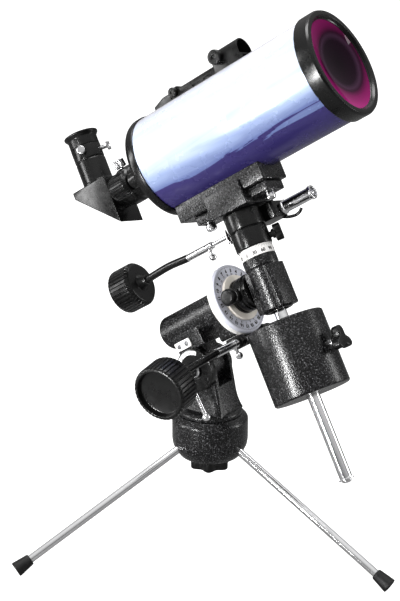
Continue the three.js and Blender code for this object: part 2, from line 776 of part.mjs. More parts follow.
const decSleeve = coupling(61, 94, 3.6, 2.3, 3.15, 66, [-1, 0, 0]);
place(saddle, "dec_slow_screw", "chrome", onScrewLine(rod(2, -25, 72.5, TINY)));
place(saddle, "dec_coupling", "chrome", decSleeve, tangentLine, [0, -90, 0]);
const decFlexShaft = join(rod(3, 82.5, 95), rod(DEC_FLEX_RADIUS, 94.3, 149.7, ROUND));
place(saddle, "dec_flex_shaft", "rubber", onScrewLine(decFlexShaft));
place(saddle, "dec_knob", "black_plastic", decKnob());

// Tube assembly

const UP = [-1, 0, 0];

function frontBezel() {
  const seat = TUBE_RADIUS + GAP;
  const pocket = LENS_RADIUS + GAP;
  return turned(
    [
      [seat, BEZEL_BACK],
      [BEZEL_RADIUS, BEZEL_BACK],
      [BEZEL_RADIUS, BEZEL_FRONT - 1],
      [BEZEL_RADIUS - 1, BEZEL_FRONT],
      [APERTURE_RADIUS + 1.4, BEZEL_FRONT],
      [APERTURE_RADIUS, BEZEL_FRONT - 2.4],
      [pocket, BEZEL_FRONT - 2.4],
      [pocket, 151.2],
      [47.2, 151.2],
      [47.2, 150],
      [seat, 150],
      [seat, BEZEL_BACK],
    ],
    LARGE,
  );
}

// A meniscus whose hollow side faces the sky
function correctorLens() {
  const sag = (radius) => LENS_CURVE - Math.sqrt(LENS_CURVE ** 2 - radius ** 2);
  const edgeSag = sag(LENS_RADIUS);
  const back = 151.8;
  const front = BEZEL_FRONT - 2.7;
  const radii = [0, 12, 24, 36, LENS_RADIUS];
  const rear = radii.map((r) => [r, back - edgeSag + sag(r)]);
  const sky = radii.map((r) => [r, front - edgeSag + sag(r)]).reverse();
  return turned([...rear, ...sky], LARGE);
}

function rearCell() {
  const spigot = TUBE_RADIUS - TUBE_WALL - GAP;
  const body = turned(
    [
      [19.2, CELL_BACK],
      [CELL_RADIUS - 3.4, CELL_BACK],
      [CELL_RADIUS - 1, CELL_BACK + 1.2],
      [CELL_RADIUS, CELL_BACK + 4],
      [CELL_RADIUS, TUBE_REAR - GAP],
      [spigot, TUBE_REAR - GAP],
      [spigot, TUBE_REAR + 8],
      [spigot - 3, TUBE_REAR + 8],
      [spigot - 3, CELL_BACK + 5],
      [19.2, CELL_BACK + 5],
      [19.2, CELL_BACK],
    ],
    LARGE,
  );
  const boss = focusFrame(softRod(8, 66, 84, 1, SMALL));
  return cut(join(body, boss), focusFrame(rod(3.3, 50, 90, TINY)));
}

// The focuser's axis runs beside the visual back.
const FOCUS_SIDE = -31;
const FOCUS_DROP = 6;
function focusFrame(geometry) {
  return geometry.rotateX(Math.PI).translate(FOCUS_DROP, FOCUS_SIDE, 0);
}

function focusKnob() {
  const grip = knob(11, 23.5, 18, 0.9).translate(0, 0, 84.5);
  const screw = rod(2.9, 54.5, 86, TINY);
  return focusFrame(join(grip, screw));
}

const SCREW_SIDE = [-0.954, -0.3, 0];

function visualBack() {
  const body = turned(
    [
      [12.8, VISUAL_BACK_END],
      [18.6, VISUAL_BACK_END],
      [19.6, VISUAL_BACK_END + 1],
      [19.6, -98],
      [17.6, -96.5],
      [17.6, CELL_BACK - 1.5],
      [18.9, CELL_BACK - GAP],
      [18.9, CELL_BACK + 3],
      [12.8, CELL_BACK + 3],
      [12.8, VISUAL_BACK_END],
    ],
  );
  return cut(body, along(rod(2.7, 10, 30, TINY), SCREW_SIDE, [0, 0, VISUAL_BACK_SCREW_AT]));
}

function thumbscrew(base, reach, radius, stem) {
  const head = extruded(toothedShape(radius, 0.5, 16), base, base + reach);
  return join(head, rod(2.3, base - stem, base + 1, TINY));
}

function primaryMirror() {
  const curve = 420;
  const sag = (radius) => (radius * radius) / (2 * curve);
  const face = [11, 22, 34, 45].map((r) => [r, -38 + sag(r)]);
  const back = [[45, -48], [30, -50], [11, -50]];
  const baffle = [[9.5, -56], [9.5, 40], [11, 40]];
  return turned([...baffle, ...face, ...back, [11, -56], [9.5, -56]].reverse());
}

place(
  optics,
  "tube_shell",
  "blue_metallic",
  tube(TUBE_RADIUS - TUBE_WALL, TUBE_RADIUS, TUBE_REAR, 149.7, LARGE),
);
place(optics, "front_bezel", "gloss_black", frontBezel());
place(optics, "corrector_lens", "coated_glass", correctorLens());
place(optics, "rear_cell", "gloss_black", rearCell());
place(optics, "primary_mirror", "mirror", primaryMirror());
place(optics, "focus_knob", "black_plastic", focusKnob());
place(optics, "visual_back", "gloss_black", visualBack());
place(
  optics,
  "visual_back_screw",
  "chrome",
  along(thumbscrew(20.2, 9, 5.8, 6), SCREW_SIDE, [0, 0, VISUAL_BACK_SCREW_AT]),
);

// Star diagonal and eyepiece

const HOLDER_TOP = 59;
const PRISM_HALF = 19;
const PRISM_DEPTH = 22;
const PRISM_TOP = 18;

// The mirror's plane lies at 45 degrees where the two light paths cross.
function mirrorPlate(half, front, back) {
  return box(-half, half, -half, half, front, back).rotateY(135 * DEGREE).translate(0, 0, EYEPIECE_AT);
}

const onScrewSide = (geometry) => geometry.rotateX(EYEPIECE_SCREW_TURN * DEGREE);

function diagonalBody() {
  const front = EYEPIECE_AT + PRISM_DEPTH;
  const rear = EYEPIECE_AT - PRISM_DEPTH;
  const outline = new THREE.Shape();
  outline.moveTo(-PRISM_TOP, front);
  outline.lineTo(2 * PRISM_DEPTH - 11, front);
  outline.lineTo(-11, rear);
  outline.lineTo(-PRISM_TOP, rear);
  outline.closePath();
  const prism = extruded(outline, -PRISM_HALF, PRISM_HALF, 0.8).rotateX(90 * DEGREE);
  const nose = rod(12.4, front - 1, -84, ROUND);
  const collar = softRod(17.6, front - 1, VISUAL_BACK_END - GAP, 0.8);
  const holder = along(softRod(EYEPIECE_RADIUS, 16, HOLDER_TOP, 0.8), UP, [0, 0, EYEPIECE_AT]);
  const lightIn = rod(10.4, EYEPIECE_AT, -80);
  const lightUp = along(rod(12.6, 0, 70, ROUND), UP, [0, 0, EYEPIECE_AT]);
  const screwHole = onScrewSide(rod(2.6, 8, 30, TINY)).translate(-EYEPIECE_SCREW_UP, 0, EYEPIECE_AT);
  const mirrorSeat = mirrorPlate(13 + GAP, -GAP, 3 + GAP);
  return cut(join(prism, nose, collar, holder), lightIn, lightUp, screwHole, mirrorSeat);
}

function eyepiece() {
  const base = HOLDER_TOP + GAP;
  const body = turned(
    [
      [9.6, 26],
      [12.2, 26],
      [12.2, base],
      [EYEPIECE_RADIUS - 0.2, base],
      [EYEPIECE_RADIUS - 0.2, base + 9],
      [17.9, base + 12.5],
      [17.9, base + 14],
      [16.4, base + 14],
      [13, base + 8],
      [9.6, base + 8],
      [9.6, 26],
    ],
  );
  return along(body, UP, [0, 0, EYEPIECE_AT]);
}

place(optics, "diagonal_body", "gloss_black", diagonalBody());
place(optics, "diagonal_mirror", "mirror", mirrorPlate(13, 0, 3));
place(optics, "eyepiece", "black_plastic", eyepiece());
place(
  optics,
  "eyepiece_screw",
  "chrome",
  onScrewSide(thumbscrew(17.5, 5, 4.4, 4.6)),
  [-EYEPIECE_SCREW_UP, 0, EYEPIECE_AT],
);

// Finder, standing on top of the tube

const FINDER_BASE = TUBE_RADIUS + GAP;
const HOOD_RADIUS = 12.5;
const HOOD_AXIS = FINDER_BASE + 8; // from the tube's axis
const HOOD_REAR = 38;
const HOOD_FRONT = 70;
const HOOD_WALL = 1.5;

// Laid on the tube's top: x is across the tube and y is away from its axis.
const onTop = (geometry) => geometry.rotateZ(90 * DEGREE);

// A bar with a ramp at its rear end, thinner where it runs under the hood
function finderRail() {
  const low = FINDER_BASE - 4;
  const top = FINDER_BASE + 7.5;
  const tongue = FINDER_BASE + 3;
  const side = new THREE.Shape();
  side.moveTo(-low, -44);
  side.lineTo(-FINDER_BASE - 3, -44);
  side.lineTo(-top, -31);
  side.lineTo(-top, HOOD_REAR - GAP);
  side.lineTo(-tongue, HOOD_REAR - GAP);
  side.lineTo(-tongue, HOOD_FRONT - 4);
  side.lineTo(-low, HOOD_FRONT - 4);
  side.closePath();
  const bar = extruded(side, -7, 7).rotateX(90 * DEGREE);
  const slot = box(-FINDER_BASE - 20, -FINDER_BASE + 20, -2, 2, -14, 18);
  const seat = rod(FINDER_BASE, -100, 100, LARGE);
  return cut(bar, slot, seat);
}

function archShape(half, floor) {
  const centre = HOOD_AXIS;
  const shape = new THREE.Shape();
  shape.moveTo(-half, floor);
  shape.lineTo(half, floor);
  shape.lineTo(half, centre);
  shape.absarc(0, centre, half, 0, 180 * DEGREE);
  shape.closePath();
  return shape;
}

function finderHood() {
  const inner = HOOD_RADIUS - HOOD_WALL;
  const floor = FINDER_BASE + 3 + GAP;
  const outside = onTop(extruded(archShape(HOOD_RADIUS, FINDER_BASE - 6), HOOD_REAR, HOOD_FRONT));
  const hollow = onTop(extruded(archShape(inner, floor + HOOD_WALL), HOOD_REAR + 4, HOOD_FRONT + 1));
  const channel = box(-floor, -FINDER_BASE + 10, -7 - GAP, 7 + GAP, HOOD_REAR - 1, HOOD_FRONT + 1);
  const seat = rod(FINDER_BASE, -100, 100, LARGE);
  return cut(outside, hollow, channel, seat);
}

const FINDER_KNOB_UP = 63;
const FINDER_KNOB_AT = 46;
const finderKnob = () => softRod(7.2, HOOD_RADIUS + 0.5, HOOD_RADIUS + 6.5, 1, SMALL).rotateX(90 * DEGREE);

place(optics, "finder_rail", "black_plastic", finderRail());
place(optics, "finder_hood", "black_plastic", finderHood());
place(optics, "finder_knob", "black_plastic", finderKnob(), [-FINDER_KNOB_UP, 0, FINDER_KNOB_AT]);

// The part's own frame stands at the middle of its footprint, on the surface it rests on.
const bounds = new THREE.Box3().setFromObject(telescope, true);
const middle = bounds.getCenter(new THREE.Vector3());
telescope.position.set(-middle.x, -middle.y, -bounds.min.z);

export default telescope;
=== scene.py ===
import bpy, bmesh, json, math
from mathutils import Matrix, Vector


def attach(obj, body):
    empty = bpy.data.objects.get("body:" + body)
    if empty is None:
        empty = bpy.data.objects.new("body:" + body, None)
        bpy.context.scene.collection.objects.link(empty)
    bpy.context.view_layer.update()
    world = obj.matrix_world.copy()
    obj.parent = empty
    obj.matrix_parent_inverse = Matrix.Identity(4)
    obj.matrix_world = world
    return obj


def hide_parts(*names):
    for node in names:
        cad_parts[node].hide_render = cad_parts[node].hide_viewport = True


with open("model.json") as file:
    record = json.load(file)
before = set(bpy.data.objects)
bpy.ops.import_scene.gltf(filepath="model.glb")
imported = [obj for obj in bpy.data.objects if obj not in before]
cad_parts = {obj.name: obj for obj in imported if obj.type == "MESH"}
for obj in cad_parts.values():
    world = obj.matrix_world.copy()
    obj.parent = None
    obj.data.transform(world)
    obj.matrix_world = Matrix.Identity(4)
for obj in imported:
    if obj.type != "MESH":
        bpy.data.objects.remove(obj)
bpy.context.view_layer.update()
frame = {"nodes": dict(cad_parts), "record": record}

RECORD = frame["record"]
JOINT = {joint["name"]: joint for joint in RECORD["behaviour"]["joints"]}
BODY_OF = {node: body for body, nodes in RECORD["behaviour"]["bodies"].items() for node in nodes}
SLOT_OF = {part["node"]: part["material_slot"] for part in RECORD["subparts"]}
MM = 0.001

# Frames: pieces are modelled in millimetres, in the frame of the axis they belong to.


def axes_frame(origin, x, z):
    z = Vector(z).normalized()
    y = z.cross(Vector(x)).normalized()
    turn = Matrix((y.cross(z), y, z)).transposed().to_4x4()
    return Matrix.Translation(Vector(origin)) @ turn @ Matrix.Scale(MM, 4)


HUB_TOP = 133.3
azimuth_joint = JOINT["azimuth_turn"]
polar_joint = JOINT["ra_turn"]
dec_joint = JOINT["dec_turn"]
pivot_joint = JOINT["latitude_tilt"]
UP = Vector((0, 0, 1))
SKY = Vector(JOINT["mirror_slide"]["axis"])
POLE = Vector(polar_joint["axis"])
DEC_AXIS = Vector(dec_joint["axis"])
DIAGONAL_AT = -144.0

hub = axes_frame(Vector(azimuth_joint["pos_m"]) - HUB_TOP * MM * UP, (1, 0, 0), UP)
# x along the fork's front, y up, z out of the side where the lever is
pivot = axes_frame(pivot_joint["pos_m"], (1, 0, 0), pivot_joint["axis"])
# z up the polar axis, x down and forwards
polar = axes_frame(polar_joint["pos_m"], Vector((0, 1, 0)).cross(POLE), POLE)
hour = axes_frame(polar_joint["pos_m"], -DEC_AXIS, POLE)
# z up the declination axis, x along the polar axis
declination = axes_frame(dec_joint["pos_m"], POLE, DEC_AXIS)
saddle = axes_frame(dec_joint["pos_m"], SKY, DEC_AXIS)
# z along the tube, -x up
tube_middle = Vector(JOINT["diagonal_turn"]["pos_m"]) - DIAGONAL_AT * MM * SKY
optics = axes_frame(tube_middle, -DEC_AXIS, SKY)


def along(where, origin, direction, side=(0, 0, 1)):
    """A frame inside another, with its z along a direction."""
    z = Vector(direction).normalized()
    x = Vector(side)
    if abs(x.normalized().dot(z)) > 0.99:
        x = Vector((1, 0, 0))
    x = (x - x.dot(z) * z).normalized()
    turn = Matrix((x, z.cross(x), z)).transposed().to_4x4()
    return where @ Matrix.Translation(Vector(origin)) @ turn


# Shader tools, for a material or the world


def node(paint, kind, **settings):
    """A new shader node. Each setting is an input if the node has one by that name, or else a property."""
    made = paint.node_tree.nodes.new(kind)
    for key, value in settings.items():
        if key in made.inputs:
            made.inputs[key].default_value = value
        else:
            setattr(made, key, value)
    return made


def wire(paint, source, output, target, socket):
    paint.node_tree.links.new(source.outputs[output], target.inputs[socket])


# Camera, lights and world

LENS_LENGTH = 91.5
VIEW_DISTANCE = 1.5
VIEW_TURN = math.radians(35.1)
VIEW_HEIGHT = math.radians(18.2)
AIM_POINT = (-8.345, -5.865, 250.4)

camera = bpy.data.objects.new("camera", bpy.data.cameras.new("camera"))
bpy.context.scene.collection.objects.link(camera)
bpy.context.scene.camera = camera
camera.data.sensor_width = 36
camera.data.lens = LENS_LENGTH
camera.data.clip_end = 20
aim = hub @ Vector(AIM_POINT)
sight = Vector((
    math.cos(VIEW_HEIGHT) * math.sin(VIEW_TURN),
    -math.cos(VIEW_HEIGHT) * math.cos(VIEW_TURN),
    math.sin(VIEW_HEIGHT),
))
camera.location = aim + VIEW_DISTANCE * sight
camera.rotation_euler = sight.to_track_quat("Z", "Y").to_euler()


def area_light(name, place, size, power, mirrored=True):
    """A softbox aimed at the telescope. One that isn't mirrored leaves no glint."""
    light = bpy.data.lights.new(name, "AREA")
    light.shape = "RECTANGLE"
    light.size, light.size_y = size
    light.energy = power
    lamp = bpy.data.objects.new(name, light)
    bpy.context.scene.collection.objects.link(lamp)
    lamp.location = place
    lamp.rotation_euler = (Vector(place) - aim).to_track_quat("Z", "Y").to_euler()
    lamp.visible_glossy = mirrored


area_light("overhead_softbox", (-0.2, 0.2, 1.9), (1.2, 0.8), 16)
area_light("left_softbox", (-1.05, -0.9, 0.3), (0.3, 1.3), 10)
area_light("near_left_softbox", (-0.2, -1.45, 0.2), (0.1, 0.8), 24)
area_light("front_fill", (0.8, -1.5, 1.2), (0.8, 0.8), 12, False)
area_light("right_softbox", (1.3, 0.9, 0.5), (0.25, 1.2), 7)

bpy.context.scene.view_settings.view_transform = "Standard"
bpy.context.scene.view_settings.look = "Medium High Contrast"
world = bpy.data.worlds.new("studio")
bpy.context.scene.world = world
world.use_nodes = True


WALL_DIMMEST = 0.06
WALL_BRIGHTEST = 0.9


def studio():
    """A white backdrop for the camera. Everything else is lit by walls that are dimmer towards the floor."""
    backdrop = world.node_tree.nodes["Background"]
    backdrop.inputs["Color"].default_value = (1, 1, 1, 1)
    backdrop.inputs["Strength"].default_value = 1.0
    walls = node(world, "ShaderNodeBackground")
    place = node(world, "ShaderNodeTexCoord")
    parts = node(world, "ShaderNodeSeparateXYZ")
    height = node(world, "ShaderNodeMapRange")
    height.inputs["From Min"].default_value = -0.1
    height.inputs["From Max"].default_value = 0.9
    height.inputs["To Min"].default_value = WALL_DIMMEST
    height.inputs["To Max"].default_value = WALL_BRIGHTEST
    choice = node(world, "ShaderNodeMixShader")
    ray = node(world, "ShaderNodeLightPath")
    wire(world, place, "Generated", parts, "Vector")
    wire(world, parts, "Z", height, "Value")
    wire(world, height, "Result", walls, "Strength")
    wire(world, ray, "Is Camera Ray", choice, "Fac")
    wire(world, walls, "Background", choice, 1)
    wire(world, backdrop, "Background", choice, 2)
    wire(world, choice, "Shader", world.node_tree.nodes["World Output"], "Surface")


studio()

# Materials


def shader(name, color, rough, metal=0.0, coat=0.0, coat_rough=0.05, ior=1.5):
    paint = bpy.data.materials.new(name)
    paint.use_nodes = True
    base = paint.node_tree.nodes["Principled BSDF"]
    base.inputs["Base Color"].default_value = (*color, 1)
    base.inputs["Roughness"].default_value = rough
    base.inputs["Metallic"].default_value = metal
    base.inputs["Coat Weight"].default_value = coat
    base.inputs["Coat Roughness"].default_value = coat_rough
    base.inputs["IOR"].default_value = ior
    return paint, base


def noise(paint, scale, detail=3.0, rough=0.55):
    place = node(paint, "ShaderNodeTexCoord")
    grain = node(paint, "ShaderNodeTexNoise", Scale=scale, Detail=detail, Roughness=rough)
    wire(paint, place, "Object", grain, "Vector")
    return grain


def ramp(paint, source, output, stops):
    spread = node(paint, "ShaderNodeValToRGB")
    band = spread.color_ramp
    while len(band.elements) < len(stops):
        band.elements.new(0.5)
    for element, (at, color) in zip(band.elements, stops):
        element.position = at
        element.color = (*color, 1)
    wire(paint, source, output, spread, "Fac")
    return spread


def tinted(paint, base, source, output, stops):
    colors = ramp(paint, source, output, stops)
    wire(paint, colors, "Color", base, "Base Color")


def grey(value):
    return (value, value, value)


def bumped(paint, base, source, output, strength, depth):
    relief = node(paint, "ShaderNodeBump", Strength=strength, Distance=depth)
    wire(paint, source, output, relief, "Height")
    wire(paint, relief, "Normal", base, "Normal")


def varied_roughness(paint, base, scale, low, high):
    cloud = noise(paint, scale, 4.0)
    spread = ramp(paint, cloud, "Fac", [(0.3, grey(low)), (0.7, grey(high))])
    wire(paint, spread, "Color", base, "Roughness")


def hammertone():
    paint, base = shader("hammertone", (0.02, 0.02, 0.021), 0.3, coat=0.1, coat_rough=0.15)
    place = node(paint, "ShaderNodeTexCoord")
    cells = node(paint, "ShaderNodeTexVoronoi", feature="SMOOTH_F1", Scale=720.0, Smoothness=0.5)
    wire(paint, place, "Object", cells, "Vector")
    grain = noise(paint, 680, 2.0, 0.7)
    tinted(paint, base, grain, "Fac", [
        (0.48, (0.0015, 0.0015, 0.0016)),
        (0.55, (0.012, 0.012, 0.013)),
        (0.61, (0.05, 0.05, 0.052)),
        (0.7, (0.16, 0.16, 0.165)),
    ])
    varied_roughness(paint, base, 900, 0.2, 0.36)
    bumped(paint, base, cells, "Distance", 0.4, 0.0004)
    return paint


def satin_black(name, tone, rough, coat, grain_scale=2500.0, relief=0.12):
    paint, base = shader(name, grey(tone), rough, coat=coat, coat_rough=0.12)
    cloud = noise(paint, 60, 3.0)
    tinted(paint, base, cloud, "Fac", [(0.3, grey(tone * 0.7)), (0.75, grey(tone * 1.5))])
    varied_roughness(paint, base, 180, rough * 0.8, rough * 1.3)
    grain = noise(paint, grain_scale, 2.0)
    bumped(paint, base, grain, "Fac", relief, 0.00012)
    return paint


def plated(name, tone, rough_low, rough_high):
    paint, base = shader(name, tone, rough_low, metal=1.0)
    varied_roughness(paint, base, 90, rough_low, rough_high)
    cloud = noise(paint, 40, 5.0, 0.6)
    tinted(paint, base, cloud, "Fac", [(0.25, tuple(c * 0.9 for c in tone)), (0.6, tone)])
    scratches = noise(paint, 4000, 2.0)
    bumped(paint, base, scratches, "Fac", 0.03, 0.00004)
    return paint


def moulded(name, tone, rough, darker=0.93):
    paint, base = shader(name, tone, rough, coat=0.15, coat_rough=0.2)
    cloud = noise(paint, 150, 4.0)
    tinted(paint, base, cloud, "Fac", [(0.3, tuple(c * darker for c in tone)), (0.65, tone)])
    varied_roughness(paint, base, 300, rough * 0.85, rough * 1.25)
    grain = noise(paint, 1800, 2.0)
    bumped(paint, base, grain, "Fac", 0.08, 0.0001)
    return paint


def rest_frame_vector(paint, where):
    """Coordinates of a model frame, in millimetres, from the object's own coordinates"""
    back = where.inverted()
    place = node(paint, "ShaderNodeTexCoord")
    squeeze = node(paint, "ShaderNodeMapping", vector_type="POINT")
    position, turn, scale = back.decompose()
    squeeze.inputs["Location"].default_value = position
    squeeze.inputs["Rotation"].default_value = turn.to_euler()
    squeeze.inputs["Scale"].default_value = scale
    wire(paint, place, "Object", squeeze, "Vector")
    return squeeze


# Painted light and shade on the tube: the colour runs from light at the top to deep blue at the bottom over
# this reach either side of the axis, and stretched clouds, standing in for painted reflection streaks, shift
# it by this share.
PAINTED_SHADE_REACH = 51.0
PAINTED_REFLECTION_STREAK_SCALE = (0.075, 0.075, 0.007)
PAINTED_REFLECTION_STREAK_SHARE = 0.34


def tube_paint():
    """Pale metallic blue with painted light and shade: lighter at the top, a painted highlight band, and
    painted shade turning deep blue at an uneven edge low on the tube, that edge warped by drawn-out clouds
    which stand in for painted reflection streaks
    """
    paint, base = shader("blue_metallic", (0.4, 0.47, 0.8), 0.3, metal=0.15, coat=0.3, coat_rough=0.05)
    where = rest_frame_vector(paint, optics)
    parts = node(paint, "ShaderNodeSeparateXYZ")
    wire(paint, where, "Vector", parts, "Vector")
    painted_shade_drop = node(paint, "ShaderNodeMapRange")
    painted_shade_drop.inputs["From Min"].default_value = -PAINTED_SHADE_REACH
    painted_shade_drop.inputs["From Max"].default_value = PAINTED_SHADE_REACH
    wire(paint, parts, "X", painted_shade_drop, "Value")
    stretch = node(paint, "ShaderNodeMapping")
    stretch.inputs["Scale"].default_value = PAINTED_REFLECTION_STREAK_SCALE
    wire(paint, where, "Vector", stretch, "Vector")
    cloud = node(paint, "ShaderNodeTexNoise", Scale=1.0, Detail=4.0, Roughness=0.55, Distortion=0.8)
    wire(paint, stretch, "Vector", cloud, "Vector")
    painted_shade_with_streaks = node(paint, "ShaderNodeMath", operation="MULTIPLY_ADD")
    wire(paint, cloud, "Fac", painted_shade_with_streaks, 0)
    painted_shade_with_streaks.inputs[1].default_value = PAINTED_REFLECTION_STREAK_SHARE
    wire(paint, painted_shade_drop, "Result", painted_shade_with_streaks, 2)
    # Painted light and shade: lavender white at the top, a painted highlight band, then painted shade down to
    # near black at the bottom.
    tinted(paint, base, painted_shade_with_streaks, "Value", [
        (0.2, (0.78, 0.78, 0.84)),
        (0.42, (0.5, 0.57, 0.72)),
        (0.6, (0.68, 0.74, 0.84)),
        (0.84, (0.34, 0.42, 0.62)),
        (1.0, (0.14, 0.18, 0.38)),
        (1.0, (0.05, 0.04, 0.16)),
    ])
    flakes = noise(paint, 5000, 1.0)
    bumped(paint, base, flakes, "Fac", 0.05, 0.00006)
    varied_roughness(paint, base, 50, 0.2, 0.32)
    return paint


LENS_RADIUS = 48.0
# Painted shade: the dark middle of the lens sits off-centre by this shift, in the lens's own frame.
PAINTED_SHADE_CENTRE_SHIFT = (5, -12, 0)


def lens_coating():
    """A purple lens with painted shade in the middle, set off-centre, where the dark inside of the tube shows
    through, a faint painted reflection ring, and painted coating reflection brightest near the edge
    """
    paint, base = shader("coated_glass", (0.25, 0.02, 0.13), 0.03, coat=0.1, coat_rough=0.02, ior=1.2)
    where = rest_frame_vector(paint, optics)
    flat = node(paint, "ShaderNodeVectorMath", operation="MULTIPLY_ADD")
    wire(paint, where, "Vector", flat, 0)
    flat.inputs[1].default_value = (1, 1, 0)
    flat.inputs[2].default_value = PAINTED_SHADE_CENTRE_SHIFT
    reach = node(paint, "ShaderNodeVectorMath", operation="LENGTH")
    wire(paint, flat, "Vector", reach, 0)
    share = node(paint, "ShaderNodeMath", operation="DIVIDE")
    wire(paint, reach, "Value", share, 0)
    share.inputs[1].default_value = LENS_RADIUS
    # Painted shade in the middle, a faint painted reflection ring, then painted coating reflection growing
    # brightest at the edge.
    tinted(paint, base, share, "Value", [
        (0.0, (0.006, 0.001, 0.005)),
        (0.46, (0.012, 0.002, 0.01)),
        (0.56, (0.05, 0.02, 0.045)),
        (0.62, (0.03, 0.003, 0.02)),
        (0.74, (0.16, 0.006, 0.08)),
        (1.0, (0.3, 0.015, 0.15)),
    ])
    return paint


MATERIALS = {
    "hammertone": hammertone(),
    "gloss_black": satin_black("gloss_black", 0.004, 0.24, 0.12),
    "black_plastic": satin_black("black_plastic", 0.004, 0.3, 0.0, 1600.0, 0.2),
    "rubber": satin_black("rubber", 0.005, 0.5, 0.0, 1200.0, 0.3),
    "chrome": plated("chrome", (0.93, 0.93, 0.94), 0.08, 0.2),
    "steel": plated("steel", (0.45, 0.45, 0.47), 0.22, 0.38),
    "bronze": plated("bronze", (0.5, 0.33, 0.15), 0.25, 0.4),
    "white_plastic": moulded("white_plastic", (0.86, 0.85, 0.83), 0.4),
    "dial_metal": moulded("dial_metal", (0.6, 0.61, 0.68), 0.34),
    "cream_plastic": moulded("cream_plastic", (0.84, 0.79, 0.72), 0.42),
    "blue_metallic": tube_paint(),
    "coated_glass": lens_coating(),
    "mirror": plated("mirror", (0.9, 0.91, 0.93), 0.01, 0.03),
    "print_black": satin_black("print_black", 0.01, 0.5, 0.0),
    "print_white": moulded("print_white", (0.85, 0.85, 0.85), 0.5),
}

# Mesh and outline tools, in millimetres

FINE = 96
MEDIUM = 56
COARSE = 32


def softened(profile, radius=0.5, closed=False, steps=3):
    """The profile with its corners rounded off"""
    points = [Vector(point[:2]) for point in profile]
    extra = [point[2] if len(point) > 2 else 0.0 for point in profile]
    count = len(points)
    result = []
    for i, point in enumerate(points):
        loose_end = not closed and i in (0, count - 1)
        before, after = points[i - 1] - point, points[(i + 1) % count] - point
        if loose_end or before.length < 1e-6 or after.length < 1e-6:
            result.append((*point, extra[i]))
            continue
        reach = min(radius, before.length * 0.45, after.length * 0.45)
        start = point + before.normalized() * reach
        end = point + after.normalized() * reach
        for k in range(steps + 1):
            t = k / steps
            place = (1 - t) ** 2 * start + 2 * t * (1 - t) * point + t ** 2 * end
            result.append((*place, extra[i]))
    return result


def lathe(profile, segments=FINE, closed=False, wave=None):
    """Turns (radius, height, groove depth) points about z. A wave gives the depth's share at an angle."""
    mesh = bmesh.new()
    rings = []
    for point in profile:
        radius, height = point[0], point[1]
        groove = point[2] if len(point) > 2 else 0.0
        if radius < 1e-5:
            rings.append([mesh.verts.new((0, 0, height))])
            continue
        ring = []
        for i in range(segments):
            angle = 2 * math.pi * i / segments
            reach = radius
            if wave and groove:
                reach -= groove * wave(angle, height)
            ring.append(mesh.verts.new((reach * math.cos(angle), reach * math.sin(angle), height)))
        rings.append(ring)
    pairs = list(zip(rings, rings[1:]))
    if closed:
        pairs.append((rings[-1], rings[0]))
    for low, high in pairs:
        for i in range(segments):
            k = (i + 1) % segments
            corners = [low[i % len(low)], low[k % len(low)], high[k % len(high)], high[i % len(high)]]
            unique = list(dict.fromkeys(corners))
            if len(unique) > 2:
                mesh.faces.new(unique)
    bmesh.ops.recalc_face_normals(mesh, faces=mesh.faces)
    return mesh


def turned(profile, radius=0.5, segments=FINE, closed=False, wave=None):
    return lathe(softened(profile, radius, closed), segments, closed, wave)


def rod(radius, low, high, edge=0.4, segments=COARSE):
    return turned([(0, low), (radius, low), (radius, high), (0, high)], edge, segments)


def ring(inner, outer, low, high, edge=0.4, segments=FINE):
    return turned([(inner, low), (outer, low), (outer, high), (inner, high)], edge, segments, closed=True)


def ball(radius, centre, steps=12):
    mesh = bmesh.new()
    bmesh.ops.create_uvsphere(mesh, u_segments=2 * steps, v_segments=steps, radius=radius)
    bmesh.ops.translate(mesh, verts=mesh.verts, vec=centre)
    return mesh


def sharp_edges(mesh, degrees=30):
    limit = math.radians(degrees)
    return [e for e in mesh.edges if len(e.link_faces) == 2 and e.calc_face_angle(0) > limit]


def bevelled(mesh, width, steps=2, degrees=30):
    bmesh.ops.bevel(
        mesh, geom=sharp_edges(mesh, degrees), offset=width, segments=steps,
        profile=0.5, affect="EDGES", clamp_overlap=True,
    )
    return mesh


def slab(outline, low, high, edge=0.5, steps=2):
    """An outline in the xy plane, thickened along z"""
    mesh = bmesh.new()
    bottom = [mesh.verts.new((x, y, low)) for x, y in outline]
    top = [mesh.verts.new((x, y, high)) for x, y in outline]
    mesh.faces.new(list(reversed(bottom)))
    mesh.faces.new(top)
    for i in range(len(outline)):
        k = (i + 1) % len(outline)
        mesh.faces.new([bottom[i], bottom[k], top[k], top[i]])
    bmesh.ops.recalc_face_normals(mesh, faces=mesh.faces)
    if edge:
        bevelled(mesh, edge, steps, 35)
    return mesh


def rounded_rectangle(x0, x1, y0, y1, radius, steps=6):
    corners = [(x1 - radius, y1 - radius, 0), (x0 + radius, y1 - radius, 90)]
    corners += [(x0 + radius, y0 + radius, 180), (x1 - radius, y0 + radius, 270)]
    outline = []
    for x, y, start in corners:
        for k in range(steps + 1):
            angle = math.radians(start + 90 * k / steps)
            outline.append((x + radius * math.cos(angle), y + radius * math.sin(angle)))
    return outline


def block(x0, x1, y0, y1, z0, z1, radius=1.0, edge=0.6, steps=3):
    return slab(rounded_rectangle(x0, x1, y0, y1, radius), z0, z1, edge, steps)


def lobed(radius, swell, lobes, points=120):
    outline = []
    for i in range(points):
        angle = 2 * math.pi * i / points
        reach = radius + swell * math.cos(lobes * angle)
        outline.append((reach * math.cos(angle), reach * math.sin(angle)))
    return outline


def arc(cx, cy, radius, start, end, steps=24):
    angles = [math.radians(start + (end - start) * k / steps) for k in range(steps + 1)]
    return [(cx + radius * math.cos(a), cy + radius * math.sin(a)) for a in angles]


def moved(mesh, where):
    bmesh.ops.transform(mesh, matrix=where, verts=mesh.verts)
    return mesh


def turn_about(axis, degrees):
    return Matrix.Rotation(math.radians(degrees), 4, axis)


def directed(mesh, origin, direction, side=(0, 0, 1)):
    return moved(mesh, along(Matrix.Identity(4), origin, direction, side))


